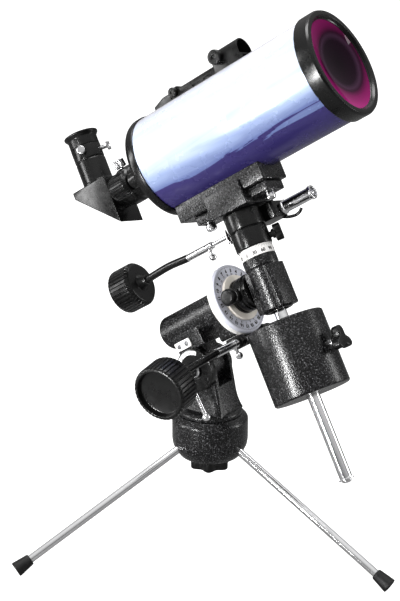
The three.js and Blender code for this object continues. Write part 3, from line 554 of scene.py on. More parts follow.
def together(*meshes):
    """Separate closed bodies in one mesh"""
    whole = meshes[0]
    for mesh in meshes[1:]:
        copy = bpy.data.meshes.new("part")
        mesh.to_mesh(copy)
        mesh.free()
        whole.from_mesh(copy)
        bpy.data.meshes.remove(copy)
    return whole


def loose_object(mesh):
    data = bpy.data.meshes.new("tool")
    mesh.to_mesh(data)
    mesh.free()
    tool = bpy.data.objects.new("tool", data)
    bpy.context.scene.collection.objects.link(tool)
    return tool


def boolean(operation, base, *tools):
    """Joins or cuts closed bodies into one"""
    body = loose_object(base)
    others = [loose_object(tool) for tool in tools]
    for other in others:
        step = body.modifiers.new("step", "BOOLEAN")
        step.operation = operation
        step.solver = "EXACT"
        step.object = other
    depsgraph = bpy.context.evaluated_depsgraph_get()
    depsgraph.update()
    result = bmesh.new()
    final = bpy.data.meshes.new_from_object(body.evaluated_get(depsgraph))
    result.from_mesh(final)
    bpy.data.meshes.remove(final)
    for item in [body, *others]:
        data = item.data
        bpy.data.objects.remove(item)
        bpy.data.meshes.remove(data)
    bmesh.ops.remove_doubles(result, verts=result.verts, dist=1e-4)
    return result


def join(base, *others):
    return boolean("UNION", base, *others)


def cut(base, *tools):
    return boolean("DIFFERENCE", base, *tools)


def swept(points, radius, segments=20, steps=10):
    """A round bar along a smooth line through the points"""
    line = [Vector(p) for p in points]
    path = []
    for i in range(len(line) - 1):
        a, b = line[max(i - 1, 0)], line[i]
        c, d = line[i + 1], line[min(i + 2, len(line) - 1)]
        for k in range(steps):
            t = k / steps
            path.append(0.5 * (2 * b + (c - a) * t + (2 * a - 5 * b + 4 * c - d) * t * t
                               + (3 * b - a - 3 * c + d) * t ** 3))
    path.append(line[-1])
    mesh = bmesh.new()
    side = Vector((0, 0, 1))
    rings = []
    for i, place in enumerate(path):
        heading = (path[min(i + 1, len(path) - 1)] - path[max(i - 1, 0)]).normalized()
        if abs(heading.dot(side)) > 0.9:
            side = Vector((1, 0, 0))
        side = (side - side.dot(heading) * heading).normalized()
        up = heading.cross(side)
        turns = [2 * math.pi * k / segments for k in range(segments)]
        rims = [radius * (math.cos(turn) * side + math.sin(turn) * up) for turn in turns]
        rings.append([mesh.verts.new(place + rim) for rim in rims])
    for low, high in zip(rings, rings[1:]):
        for i in range(segments):
            k = (i + 1) % segments
            mesh.faces.new([low[i], low[k], high[k], high[i]])
    mesh.faces.new(list(reversed(rings[0])))
    mesh.faces.new(rings[-1])
    bmesh.ops.recalc_face_normals(mesh, faces=mesh.faces)
    return mesh


def lettering(text, size, thickness=0.06, weight=0.0):
    """Digits as thin closed plates in the xy plane, centred on the origin"""
    curve = bpy.data.curves.new("digits", "FONT")
    curve.body = text
    curve.size = size
    curve.align_x = "CENTER"
    curve.align_y = "CENTER"
    curve.extrude = thickness / 2
    curve.offset = weight
    curve.resolution_u = 3
    item = bpy.data.objects.new("digits", curve)
    bpy.context.scene.collection.objects.link(item)
    depsgraph = bpy.context.evaluated_depsgraph_get()
    depsgraph.update()
    flat = bpy.data.meshes.new_from_object(item.evaluated_get(depsgraph))
    mesh = bmesh.new()
    mesh.from_mesh(flat)
    bpy.data.objects.remove(item)
    bpy.data.curves.remove(curve)
    bpy.data.meshes.remove(flat)
    bmesh.ops.remove_doubles(mesh, verts=mesh.verts, dist=1e-5)
    return mesh


def tick(width, length, thickness=0.06):
    x, y = width / 2, length / 2
    return slab([(-x, -y), (x, -y), (x, y), (-x, y)], -thickness / 2, thickness / 2, 0)


def shade(mesh, degrees=32):
    limit = math.radians(degrees)
    for face in mesh.faces:
        face.smooth = True
    for edge in mesh.edges:
        edge.smooth = len(edge.link_faces) == 2 and edge.calc_face_angle(0) < limit


def make(name, mesh, where, finish, body):
    """Turns a mesh into a piece of the scene that moves with a body."""
    moved(mesh, where)
    shade(mesh)
    data = bpy.data.meshes.new(name)
    mesh.to_mesh(data)
    mesh.free()
    piece = bpy.data.objects.new(name, data)
    bpy.context.scene.collection.objects.link(piece)
    data.materials.append(MATERIALS[finish])
    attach(piece, body)
    return piece


def finish_node(name, mesh, where, finish=None):
    """The detailed piece that stands for a node of the frame"""
    piece = make(name + "_detailed", mesh, where, finish or SLOT_OF[name], BODY_OF[name])
    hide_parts(name)
    return piece


def trim(name, mesh, where, finish, body):
    """A small piece that has no node of its own"""
    return make(name, mesh, where, finish, body)


def fluted(count, ridge=0.5, slope=0.12):
    """A wave with flat-topped ridges"""
    def wave(angle, _height):
        part = (angle * count / (2 * math.pi)) % 1.0
        if part < ridge:
            return 0.0
        edge = min(part - ridge, 1.0 - part) / slope
        return min(edge, 1.0)
    return wave


def knob(radius, length, flutes, depth):
    """A fluted grip from its neck side at 0 to its deeply dished face"""
    profile = [
        (0, 0, 0), (radius * 0.5, 0, 0), (radius - 3.2, 0.4, 0), (radius, 4, depth),
        (radius, length - 2.4, depth), (radius - 1.2, length - 0.6, depth * 0.4), (radius - 2.6, length, 0),
        (radius - 4.2, length, 0), (radius - 5.2, length - 5.4, 0), (radius * 0.42, length - 6, 0),
        (0, length - 6.2, 0),
    ]
    return lathe(softened(profile, 0.9), flutes * 12, wave=fluted(flutes))


# Tripod

LEG_APEX = 117.8
FOOT_REACH = 210.0
FOOT_HEIGHT = 1.9
FOOT_LENGTH = 18.0
LEG_RADIUS = 4.0
leg_slope = math.atan2(LEG_APEX - FOOT_HEIGHT, FOOT_REACH)
leg_length = FOOT_REACH / math.cos(leg_slope)

finish_node("hub_casting", turned([
    (0, 87.3), (27, 87.3), (30.5, 88.5), (34.5, 94), (37.4, 100), (38.3, 105.5),
    (38.3, 127.4), (37.3, 129.2), (33, 133.3), (0, 133.3),
], 1.4), hub)

for side, angle in {"front": 0, "left": 120, "right": 240}.items():
    turn = math.radians(angle)
    outward = (
        math.cos(turn) * math.cos(leg_slope), math.sin(turn) * math.cos(leg_slope), -math.sin(leg_slope))
    leg = along(hub, (0, 0, LEG_APEX), outward)
    finish_node("leg_" + side, rod(LEG_RADIUS, 24, leg_length - 3, 0.6, 48), leg)
    cap = leg_length - FOOT_LENGTH
    foot = turned([
        (0, cap + 0.5), (4.4, cap + 0.5), (4.4, cap), (5.3, cap), (5.8, cap + 1.6), (7.5, leg_length - 1.6),
        (7.5, leg_length - 0.4), (6.4, leg_length - 0.4), (6, leg_length - 0.9), (0, leg_length - 0.9),
    ], 0.5, 48)
    piece = finish_node("foot_" + side, foot, leg)
    for vertex in piece.data.vertices:
        vertex.co.z = max(vertex.co.z, 0.0)
    trim("leg_socket_" + side, ring(4.1, 5.6, 33, 37.5, 0.5, 48), leg, "hammertone", "tripod")

star = slab(lobed(18.6, 2.4, 6), 74, 86.3, 2.2, 4)
finish_node("azimuth_knob", together(star, rod(9, 72.6, 75, 0.8), rod(4, 80, 148)), hub)

# Fork

PIVOT_X = -2.4
PIVOT_Z = 183.7
CHEEK_RADIUS = 17.8
CHEEK_OUTER = 17.0
CHEEK_INNER = 11.3
FORK_BASE = 133.6


def tower():
    """A tower with rounded corners, flared at its foot, as rings of one rounded rectangle"""
    mesh = bmesh.new()
    rings = []
    foot, top = FORK_BASE + 4.5, PIVOT_Z
    steps = 20
    for i in range(steps + 1):
        t = i / steps
        height = foot + (top - foot) * t
        flare = max(0.0, 1 - t * 2.2) ** 2.2
        low = -21 + 4.0 * t - 1.4 * flare
        high = 25 - 9.5 * t + 1.6 * flare
        thick = CHEEK_OUTER + 4.2 * flare
        outline = rounded_rectangle(low, high, -thick, thick, 2.6, 5)
        rings.append([mesh.verts.new((x, y, height)) for x, y in outline])
    for a, b in zip(rings, rings[1:]):
        for i in range(len(a)):
            k = (i + 1) % len(a)
            mesh.faces.new([a[i], a[k], b[k], b[i]])
    mesh.faces.new(list(reversed(rings[0])))
    mesh.faces.new(rings[-1])
    bmesh.ops.recalc_face_normals(mesh, faces=mesh.faces)
    return mesh


def fork():
    base = turned([(0, FORK_BASE), (32.4, FORK_BASE), (32.4, 137), (30.6, 139), (24, 139.4), (0, 139.4)], 0.9)
    head = directed(
        rod(CHEEK_RADIUS, -CHEEK_OUTER, CHEEK_OUTER, 1.2, FINE), (PIVOT_X, 0, PIVOT_Z), (0, 1, 0))
    slot = block(-60, 60, -CHEEK_INNER, CHEEK_INNER, PIVOT_Z - 16, PIVOT_Z + 40, 1, 0)
    return cut(join(base, tower(), head), slot)


finish_node("azimuth_fork", fork(), hub)

SCALE_BACK = CHEEK_OUTER + 0.3
scale_front = SCALE_BACK + 6.6
finish_node("latitude_scale", turned([
    (4.3, SCALE_BACK), (21.7, SCALE_BACK), (21.7, scale_front - 0.4), (20.9, scale_front),
    (8.6, scale_front), (8.2, scale_front - 0.9), (4.3, scale_front - 0.9),
], 0.5, closed=True), pivot)


def sector(inner, outer, start, end, low, high):
    outline = arc(0, 0, outer, start, end, 40) + list(reversed(arc(0, 0, inner, start, end, 40)))
    return slab(outline, low, high, 0)


trim("latitude_scale_arc", sector(16.2, 20.4, 84, 166, scale_front, scale_front + 0.12), pivot,
     "print_white", "azimuth_base")
marks = []
for i in range(20):
    angle = 86 + 4 * i
    length = 1.9 if i % 5 == 0 else 1.1
    mark = moved(tick(0.34, length), Matrix.Translation((0, 20.2 - length / 2, scale_front + 0.15)))
    marks.append(moved(mark, turn_about("Z", angle - 90)))
for i in range(4):
    digits = moved(lettering(str(80 - 20 * i), 2.6), Matrix.Translation((0, 17.4, scale_front + 0.15)))
    marks.append(moved(digits, turn_about("Z", 20 * i)))
trim("latitude_scale_marks", together(*marks), pivot, "print_black", "azimuth_base")

LEVER_ANGLE = math.radians(-59.7)
LEVER_LENGTH = 46.0
lever = turned([
    (0, 0), (2.9, 0), (2.6, 8), (1.9, 30), (2.1, LEVER_LENGTH - 3), (0, LEVER_LENGTH - 3),
], 0.5, COARSE)
lever = together(lever, ball(4.2, (0, 0, LEVER_LENGTH), 16))
directed(lever, (0, 0, 36.6), (math.cos(LEVER_ANGLE), math.sin(LEVER_ANGLE), 0))
bolt_head = turned([
    (0, 24.2), (7, 24.2), (7, 25.6), (5.4, 26.2), (5.4, 31.4), (6, 32), (6, 41), (5, 42), (0, 42),
], 0.6, MEDIUM)
finish_node("latitude_lock_bolt", together(bolt_head, rod(4, -22, 25), lever), pivot)

# Polar axis housing

HOUSING_RADIUS = 17.3
HOUSING_REAR = -57.6
HOUSING_FRONT = 30.3
pivot_here = polar.inverted() @ (pivot @ Vector((0, 0, 0)))


def polar_housing():
    barrel = turned([
        (0, HOUSING_REAR + 0.9), (12.2, HOUSING_REAR + 0.9), (12.8, HOUSING_REAR), (15.6, HOUSING_REAR),
        (HOUSING_RADIUS, HOUSING_REAR + 2.6), (HOUSING_RADIUS, HOUSING_FRONT - 3.4),
        (HOUSING_RADIUS - 0.7, HOUSING_FRONT - 2.8), (HOUSING_RADIUS - 0.7, HOUSING_FRONT),
        (0, HOUSING_FRONT),
    ], 1.1)
    web = block(4, 25, -16.5, 16.5, -46, -10, 2, 1.2)
    lug = block(4, 31, -14, 14, 7, HOUSING_FRONT, 2.5, 1.2)
    strap = block(14, pivot_here.x, -10.8, 10.8, pivot_here.z - 14, pivot_here.z + 14, 2, 0.8)
    knuckle = directed(
        rod(14, -10.8, 10.8, 0.8, FINE), (pivot_here.x, 0, pivot_here.z), (0, 1, 0))
    bore = rod(12.3, HOUSING_REAR + 8, HOUSING_FRONT + 1, 0, MEDIUM)
    return cut(join(barrel, web, lug, strap, knuckle), bore)


finish_node("ra_housing", polar_housing(), polar)

plate = block(11.5, 20.5, -44.5, -24.5, 16.8, 18.6, 1.2, 0.5)
# the plate stands on the side of the web, so its thickness runs along -y
plate_frame = polar @ Matrix(((1, 0, 0, 0), (0, 0, -1, 0), (0, 1, 0, 0), (0, 0, 0, 1)))
finish_node("latitude_index", plate, plate_frame)
screws = []
for at in (-39.5, -29.5):
    head = turned([(0, 17.6), (2.5, 17.6), (2.5, 18.9), (1.9, 19.5), (0, 19.6)], 0.3, COARSE)
    recess = block(-3, 3, -0.35, 0.35, 19, 21, 0.1, 0)
    screws.append(moved(cut(head, moved(recess, turn_about("Z", 25 * at))), Matrix.Translation((16, at, 0))))
trim("latitude_index_screws", together(*screws), plate_frame, "steel", "polar_housing")

# Worm under the dial

WORM_DROP = 38.0
WORM_AT = 33.5
worm_line = along(polar, (WORM_DROP, 0, WORM_AT), (0, -1, 0), (1, 0, 0))
WHEEL_BACK = 30.7


def worm_bracket():
    body = block(31.3, 44.3, -24, 22, 24.5, WHEEL_BACK - 0.3, 3, 0.9)
    seat = block(31.3, 42, -14, 14, 12, WHEEL_BACK - 0.3, 2, 0.9)
    to_line = polar.inverted() @ worm_line
    bearing_front = moved(turned([(2.8, 16.5), (6.3, 16.5), (6.3, 20), (5.8, 20.6), (5.8, 21.4), (6.3, 22),
                                  (6.3, 24), (2.8, 24)], 0.4, MEDIUM, closed=True), to_line)
    bearing_rear = moved(ring(2.8, 6.3, -22, -17, 0.5, MEDIUM), to_line)
    shaft_path = moved(rod(2.8, -40, 40, 0, COARSE), to_line)
    return cut(join(body, seat, bearing_front, bearing_rear), shaft_path)


finish_node("worm_bracket", worm_bracket(), polar)


def worm_wave(angle, height):
    return 0.5 - 0.5 * math.cos(2 * math.pi * height / 3.2 - angle)


worm_profile = [(0, -36), (1.9, -36), (1.9, -15.4), (2.5, -15)]
worm_profile += [(2.5, -15 + 0.4 * i, 0.8) for i in range(76)]
worm_profile += [(1.9, 15.6), (1.9, 36), (0, 36)]
finish_node("ra_worm", lathe(worm_profile, COARSE, wave=worm_wave), worm_line)
trim("ra_worm_end_cap", rod(5.2, -31, -23, 2.2, MEDIUM), worm_line, "gloss_black", "ra_worm")
trim("ra_worm_stub", rod(2.4, -36.6, -29, 0.6, COARSE), worm_line, "white_plastic", "ra_worm")


def coupling(low, high, radius, screw_at):
    sleeve = turned([
        (radius * 0.55, low), (radius, low), (radius, low + 7), (radius - 0.5, low + 7.4),
        (radius - 0.5, low + 8.4), (radius, low + 8.8), (radius, high), (radius * 0.86, high),
        (radius * 0.55, high),
    ], 0.35, MEDIUM, closed=True)
    stem = turned([
        (0, radius - 1), (2.3, radius - 1), (2.3, radius + 1.4), (1.6, radius + 2),
        (1.6, radius + 5), (0, radius + 5),
    ], 0.3, COARSE)
    screw = directed(together(stem, ball(3.7, (0, 0, radius + 7.5))), (0, 0, screw_at), (1, 0, 0), (0, 0, 1))
    return together(sleeve, screw)


finish_node("ra_coupling", coupling(25, 60, 4.2, 31), worm_line)

KNOB_TILT = math.radians(8.5)
KNOB_OUT = 129.0
KNOB_DROP = 43.4
flex = [
    (WORM_DROP, -50, WORM_AT), (WORM_DROP, -62, WORM_AT), (WORM_DROP + 1, -85, WORM_AT),
    (KNOB_DROP - 22 * math.sin(KNOB_TILT), -KNOB_OUT + 0.3 + 22 * math.cos(KNOB_TILT), WORM_AT),
    (KNOB_DROP, -KNOB_OUT + 0.3, WORM_AT),
]
finish_node("ra_flex_shaft", swept(flex, 3.55, 24), polar, "gloss_black")

knob_line = along(
    polar, (KNOB_DROP + 2.3 * math.sin(KNOB_TILT), -KNOB_OUT - 2.3, WORM_AT),
    (math.sin(KNOB_TILT), -math.cos(KNOB_TILT), 0))
neck = turned([(0, -2), (6.4, -2), (6.9, -1.2), (7.4, 1), (9, 3.2), (9, 5), (0, 5)], 0.5, MEDIUM)
finish_node("ra_knob", together(knob(26, 29, 40, 1.3), neck), knob_line)

# Parts that turn about the polar axis

DIAL_RADIUS = 35.2
WHEEL_FRONT = 36.2
DIAL_FRONT = 40.7
DISC_RADIUS = 23.3
SHAFT_RADIUS = 9.0
TEETH = 110


def slanted_teeth(angle, height):
    part = (angle * TEETH / (2 * math.pi) + height * 0.32) % 1.0
    return abs(2 * part - 1)


rows = [WHEEL_BACK + 0.5 + 0.55 * i for i in range(9)]
wheel_profile = [(SHAFT_RADIUS + 0.3, WHEEL_BACK), (DIAL_RADIUS - 1, WHEEL_BACK)]
wheel_profile += [(DIAL_RADIUS, height, 0.8) for height in rows]
wheel_profile += [(DIAL_RADIUS - 1, WHEEL_FRONT), (SHAFT_RADIUS + 0.3, WHEEL_FRONT)]
finish_node("ra_worm_wheel", lathe(wheel_profile, TEETH * 4, True, slanted_teeth), hour)

# The dial's face falls away a little from its rim to the disc in front of it.
FACE_OUTER = 34.4
FACE_RIM = 33.4
FACE_INNER = 23.0
FACE_FALL = 1.1
finish_node("ra_setting_circle", turned([
    (SHAFT_RADIUS + 0.3, WHEEL_FRONT + 0.3), (DIAL_RADIUS, WHEEL_FRONT + 0.3),
    (DIAL_RADIUS, DIAL_FRONT - 1.2), (FACE_OUTER, DIAL_FRONT), (FACE_RIM, DIAL_FRONT),
    (FACE_INNER, DIAL_FRONT - FACE_FALL), (SHAFT_RADIUS + 0.3, DIAL_FRONT - FACE_FALL),
], 0.35, 160, closed=True), polar)

face_slope = math.atan2(FACE_FALL, FACE_RIM - FACE_INNER)


def on_dial(mark, radius, degrees):
    """Lays a flat mark on the dial's face, its foot towards the axis."""
    height = DIAL_FRONT - FACE_FALL * (FACE_RIM - radius) / (FACE_RIM - FACE_INNER) + 0.04
    moved(mark, turn_about("X", math.degrees(face_slope)))
    moved(mark, Matrix.Translation((0, radius, height)))
    return moved(mark, turn_about("Z", degrees))


marks = []
for i in range(144):
    length = 2.0 if i % 6 == 0 else 1.5 if i % 3 == 0 else 1.0
    marks.append(on_dial(tick(0.28, length), 33.2 - length / 2, 2.5 * i))
for hours in range(24):
    marks.append(on_dial(lettering(str(hours), 4.6, 0.06, 0.26), 28.7, 15 * hours))
    marks.append(on_dial(lettering(str((24 - hours) % 24), 2.8, 0.06, 0.06), 25.0, 15 * hours))
trim("ra_dial_marks", together(*marks), polar, "print_black", "ra_circle")

finish_node("ra_clutch_disc", turned([
    (SHAFT_RADIUS + 0.3, DIAL_FRONT - 0.7), (22.7, DIAL_FRONT - 0.7), (DISC_RADIUS, DIAL_FRONT),
    (DISC_RADIUS, 43.2), (22.6, 43.6), (SHAFT_RADIUS + 0.3, 43.6),
], 0.4, closed=True), hour)


def polar_head():
    body = turned([
        (9.3, 43.9), (17.2, 43.9), (17.2, 46.4), (16.4, 46.8), (16.4, 47.6), (17.2, 48), (17.2, 54),
        (16.2, 54.6), (16.2, 55.8), (17.8, 56.4), (17.8, 58.8), (16.6, 59.4), (16.6, 60.4), (17.2, 60.9),
        (17.2, 63.8), (9.3, 63.8),
    ], 0.35, closed=True)
    boss = directed(rod(6.5, 12, 21, 0.8, MEDIUM), (0, 0, 51.5), (0, -1, 0))
    return join(body, boss)


finish_node("ra_head", polar_head(), hour)
lock_line = along(hour, (0, 0, 51.5), (0, -1, 0), (0, 0, 1))
trim("ra_lock_washer", ring(3.2, 5.7, 21.2, 22.4, 0.4, MEDIUM), lock_line, "chrome", "ra_lock")
finish_node("ra_lock_knob", together(
    turned([(0, 24.4), (6.2, 24.4), (8.2, 26), (8.2, 30.6), (6.6, 32.8), (3, 33), (0, 33)], 1.0, 140),
    rod(3, 14, 26)), lock_line)

# Declination housing and its counterweight

DEC_BOTTOM = -27.0
DEC_TOP = 15.0
DEC_CIRCLE_RADIUS = 16.8


def dec_housing():
    outline = [(-15, -12.5), (13, -12.5), (16, -9.5), (16, 12), (12, 16), (-13, 16), (-16, 13), (-16, -11.5)]
    body = slab(outline, DEC_BOTTOM, DEC_TOP, 2.0, 3)
    neck = turned([
        (0, DEC_BOTTOM - 1.5), (13.6, DEC_BOTTOM - 1.5), (15.6, DEC_BOTTOM + 1), (15.9, DEC_TOP),
        (16.8, DEC_TOP + 1.6), (16.8, 25.6), (0, 25.6),
    ], 0.8)
    bore = rod(9.3, -40, 40, 0, MEDIUM)
    return cut(join(body, neck), bore)


finish_node("dec_housing", dec_housing(), declination)
dec_circle = ring(9.3, DEC_CIRCLE_RADIUS, 25.9, 35.5, 0.4, 128)
finish_node("dec_setting_circle", dec_circle, declination, "white_plastic")


def round_band(mark, radius, height, degrees):
    """Bends a flat mark round a band, its foot towards the band's lower edge."""
    for vertex in mark.verts:
        angle = math.radians(degrees) + vertex.co.x / radius
        reach = radius + 0.03 + vertex.co.z
        vertex.co = (reach * math.cos(angle), reach * math.sin(angle), height + vertex.co.y)
    return mark


marks = []
for i in range(72):
    length = 3.0 if i % 6 == 0 else 2.2 if i % 2 == 0 else 1.5
    marks.append(round_band(tick(0.24, length), DEC_CIRCLE_RADIUS, 34.9 - length / 2, 5 * i))
for i in range(12):
    value = abs(90 - abs(30 * i - 180))
    marks.append(round_band(lettering(str(value), 4.6, 0.06, 0.16), DEC_CIRCLE_RADIUS, 29.0, 30 * i))
trim("dec_dial_marks", together(*marks), declination, "print_black", "dec_circle")

BAR_END = -198.0
WEIGHT_TOP = -40.7
WEIGHT_BOTTOM = -114.6
WEIGHT_RADIUS = 37.9
weight_middle = (WEIGHT_TOP + WEIGHT_BOTTOM) / 2
finish_node("counterweight_bar", rod(6.2, BAR_END, DEC_BOTTOM + 0.2, 0.5, 64), saddle)
stop = together(
    turned([(0, BAR_END - 1.8), (7.6, BAR_END - 1.8), (7.6, BAR_END - 0.3), (0, BAR_END - 0.3)], 0.4, MEDIUM),
    turned([
        (0, BAR_END - 4.8), (3, BAR_END - 4.5), (5, BAR_END - 3.2), (5.3, BAR_END - 1.8),
        (0, BAR_END - 1.8),
    ], 0.5, MEDIUM))
finish_node("bar_stop", stop, saddle)
weight = turned([
    (6.5, WEIGHT_BOTTOM + 0.8), (8, WEIGHT_BOTTOM), (36.6, WEIGHT_BOTTOM),
    (WEIGHT_RADIUS, WEIGHT_BOTTOM + 1.3), (WEIGHT_RADIUS, WEIGHT_TOP - 1.3),
    (36.6, WEIGHT_TOP), (8, WEIGHT_TOP), (6.5, WEIGHT_TOP - 0.8),
], 0.7, 160, closed=True)
screw_seat = directed(rod(5.2, 36, 50, 0, MEDIUM), (0, 0, weight_middle), (1, 0, 0))
screw_hole = directed(rod(3.6, 5, 50, 0, COARSE), (0, 0, weight_middle), (1, 0, 0))
finish_node("counterweight", cut(weight, screw_seat, screw_hole), saddle)
weight_line = along(saddle, (0, 0, weight_middle), (1, 0, 0))
grip = slab(lobed(9.6, 3.6, 3), 45, 54, 1.8, 3)
grip = together(grip, rod(6, 42.6, 46, 0.7, MEDIUM), rod(3.1, 10, 44))
finish_node("counterweight_knob", grip, weight_line)
trim("counterweight_knob_stem", ring(3.12, 4.4, 37, 42.8, 0.4, MEDIUM), weight_line,
     "chrome", "counterweight_knob")

# Declination clamp, tangent block and saddle

WING_ANGLE = math.radians(25)
WING_HEIGHT = 42.0
COLLAR_TOP = 54.8
SADDLE_BOTTOM = 73.3
SLOW_LINE = (0, 28, 64)
finish_node("dec_clamp_collar", turned([
    (9.3, 35.8), (17.6, 35.8), (18.1, 36.6), (18.1, 53.6), (17.6, 54.2), (17.6, COLLAR_TOP),
    (9.3, COLLAR_TOP),
], 0.4, closed=True), saddle)
wing_side = (math.cos(WING_ANGLE), math.sin(WING_ANGLE), 0)
wing_line = along(saddle, (0, 0, WING_HEIGHT), wing_side)
finish_node("dec_lock_knob", together(
    slab(lobed(5.6, 2.8, 2), 22.7, 30, 1.6, 3), rod(4.6, 20.2, 23.4, 0.6), rod(3, 12, 24)), wing_line)
finish_node("dec_head", turned([
    (9.3, 55.1), (18, 55.1), (18.5, 55.7), (18.5, SADDLE_BOTTOM - 1), (18, SADDLE_BOTTOM - 0.3),
    (9.3, SADDLE_BOTTOM - 0.3),
], 0.4, closed=True), saddle)

tangent_line = along(saddle, SLOW_LINE, (1, 0, 0))
rear_line = along(saddle, SLOW_LINE, (-1, 0, 0))
casting = block(3, 28, 12, 35.5, 56, 72.6, 3, 1.2)
around = rod(18.8, 50, 80, 0, FINE)
finish_node("tangent_block", cut(casting, around), saddle)
finish_node("spring_housing", turned([
    (0, 28.3), (6, 28.3), (6, 62.2), (7, 62.8), (7, 65.6), (6.4, 66.2), (4.8, 66.2), (4.6, 65.6), (4.6, 60),
    (0, 60),
], 0.4, FINE), tangent_line)
trim("spring_housing_nut", ring(6.05, 7.2, 29.5, 33, 0.4, 6), tangent_line, "chrome", "dec_axis")

PLATE_BOTTOM = 77.4
PLATE_TOP = 86.5
CRADLE_HALF = 21.0


def saddle_plate():
    """A plate with a deeper block in the middle, whose sides rise past the cradle's"""
    plate = block(-42, 46.5, -15.5, 15.5, PLATE_BOTTOM, PLATE_TOP, 2, 1.0)
    deep = block(-20, 24.5, -24.5, 24.5, SADDLE_BOTTOM, 97, 1.2, 0.9)
    between = block(-30, 30, -CRADLE_HALF - 0.3, CRADLE_HALF + 0.3, PLATE_TOP, 100, 0.5, 0)
    return join(plate, cut(deep, between))


finish_node("saddle_plate", saddle_plate(), saddle)
for side, at in {"front": 37, "rear": -37}.items():
    head = turned([
        (0, PLATE_BOTTOM - 6.4), (2.2, PLATE_BOTTOM - 6.4), (2.6, PLATE_BOTTOM - 7), (4.6, PLATE_BOTTOM - 7),
        (5.3, PLATE_BOTTOM - 5.4), (5.3, PLATE_BOTTOM - 0.3), (0, PLATE_BOTTOM - 0.3),
    ], 0.6, MEDIUM)
    finish_node("saddle_bolt_" + side, moved(together(head, rod(2.6, PLATE_BOTTOM - 3, 91)),
                                             Matrix.Translation((at, 0, 0))), saddle)

TUBE_AXIS_AT = 151.2
TUBE_RADIUS = 51.2
cradle = block(-56, 50, -CRADLE_HALF, CRADLE_HALF, PLATE_TOP + 0.3, 105, 2, 1.1)
seat = directed(rod(TUBE_RADIUS + 0.3, -100, 120, 0, 160), (0, 0, TUBE_AXIS_AT), (1, 0, 0))
finish_node("tube_cradle", cut(cradle, seat), saddle)

pointer = slab([(-3, 0), (3, 0), (3, 7), (0.4, 14), (-0.4, 14), (-3, 7)], 0, 0.8, 0.2)
pointer_line = along(saddle, (-19.6, -6, 50), (-1, 0, 0), (0, -1, 0))
trim("dec_pointer", together(pointer, block(-3, 3, -1.2, 1, -2.4, 0.8, 0.4, 0.2)), pointer_line,
     "chrome", "dec_axis")
hook = swept([(22, 31, 57.5), (28, 33, 54.5), (35, 35, 53.2), (40, 36, 54.4), (43, 36.5, 57)], 1.5, 16)
trim("tangent_hook", hook, saddle, "gloss_black", "dec_axis")

# Slow motion of the declination axis

finish_node("dec_slow_screw", rod(2, -25, 72.5, 0.4, COARSE), rear_line)
finish_node("dec_coupling", coupling(61, 94, 3.6, 66), along(saddle, SLOW_LINE, (-1, 0, 0), (0, 0, -1)))
flex = swept([(0, 0, 94.3), (0.3, 0, 100), (1.6, 0, 120), (0.6, 0, 142), (0, 0, 149.7)], 3.9, 32)
finish_node("dec_flex_shaft", together(flex, rod(3, 82.5, 95, 0.3, MEDIUM)), rear_line, "gloss_black")
KNOB_INNER = 158.0
neck = turned([
    (0, KNOB_INNER - 8), (5.4, KNOB_INNER - 8), (5.8, KNOB_INNER - 5), (7.6, KNOB_INNER - 2),
    (10, KNOB_INNER + 1), (10, KNOB_INNER + 3), (0, KNOB_INNER + 3),
], 0.6, MEDIUM)
grip = moved(knob(23.5, 28, 36, 1.2), Matrix.Translation((0, 0, KNOB_INNER)))
finish_node("dec_knob", together(grip, neck), rear_line)

# Tube assembly

BEZEL_BACK = 143.7
BEZEL_FRONT = 160.2
finish_node("tube_shell", ring(TUBE_RADIUS - 1.8, TUBE_RADIUS, -57, 149.7, 0.3, 192), optics)
finish_node("front_bezel", turned([
    (51.5, BEZEL_BACK), (52.7, BEZEL_BACK), (53.3, BEZEL_BACK + 0.8), (53.3, 157.8), (52.2, BEZEL_FRONT),
    (47.6, BEZEL_FRONT), (46, 157.8), (48.3, 157.8), (48.3, 151.2), (47.2, 151.2), (47.2, 150), (51.5, 150),
], 0.35, 192, closed=True), optics)
LENS_CURVE = 125.0


def sag(radius):
    return LENS_CURVE - math.sqrt(LENS_CURVE ** 2 - radius ** 2)


edge_sag = sag(LENS_RADIUS)
radii = [LENS_RADIUS * i / 24 for i in range(25)]
rear = [(r, 151.8 - edge_sag + sag(r)) for r in radii]
sky = [(r, 157.5 - edge_sag + sag(r)) for r in reversed(radii)]
finish_node("corrector_lens", lathe(rear + sky, 128), optics)
trim("lens_retaining_ring", turned([
    (45.9, 155.8), (47.3, 157.6), (46.6, 157.9), (45.0, 156.6),
], 0.2, 192, closed=True), optics, "gloss_black", "dec_axis")

finish_node("rear_cell", turned([
    (19.2, -68), (48.6, -68), (51.4, -66.6), (52.6, -63.4), (52.6, -57.3), (49.1, -57.3),
    (49.1, -49), (46.1, -49), (46.1, -63), (19.2, -63),
], 0.6, 160, closed=True), optics)
focus_line = along(optics, (6, -31, 0), (0, 0, -1), (1, 0, 0))
trim("focus_boss", turned([(0, 62), (8, 62), (8, 83), (7, 84), (0, 84)], 0.7, MEDIUM), focus_line,
     "gloss_black", "dec_axis")
grip = moved(knob(11, 23.5, 24, 0.8), Matrix.Translation((0, 0, 84.5)))
finish_node("focus_knob", together(grip, rod(2.9, 54.5, 86)), focus_line)
finish_node("visual_back", turned([
    (12.8, -112), (18.6, -112), (19.6, -111), (19.6, -99), (17.6, -97), (17.6, -84), (18.3, -83.4),
    (18.3, -80), (17.6, -79.4), (17.6, -69.6), (18.9, -68.3), (18.9, -65), (12.8, -65),
], 0.5, closed=True), optics)


def knurl(count):
    def wave(angle, _height):
        return abs(2 * ((angle * count / (2 * math.pi)) % 1.0) - 1)
    return wave


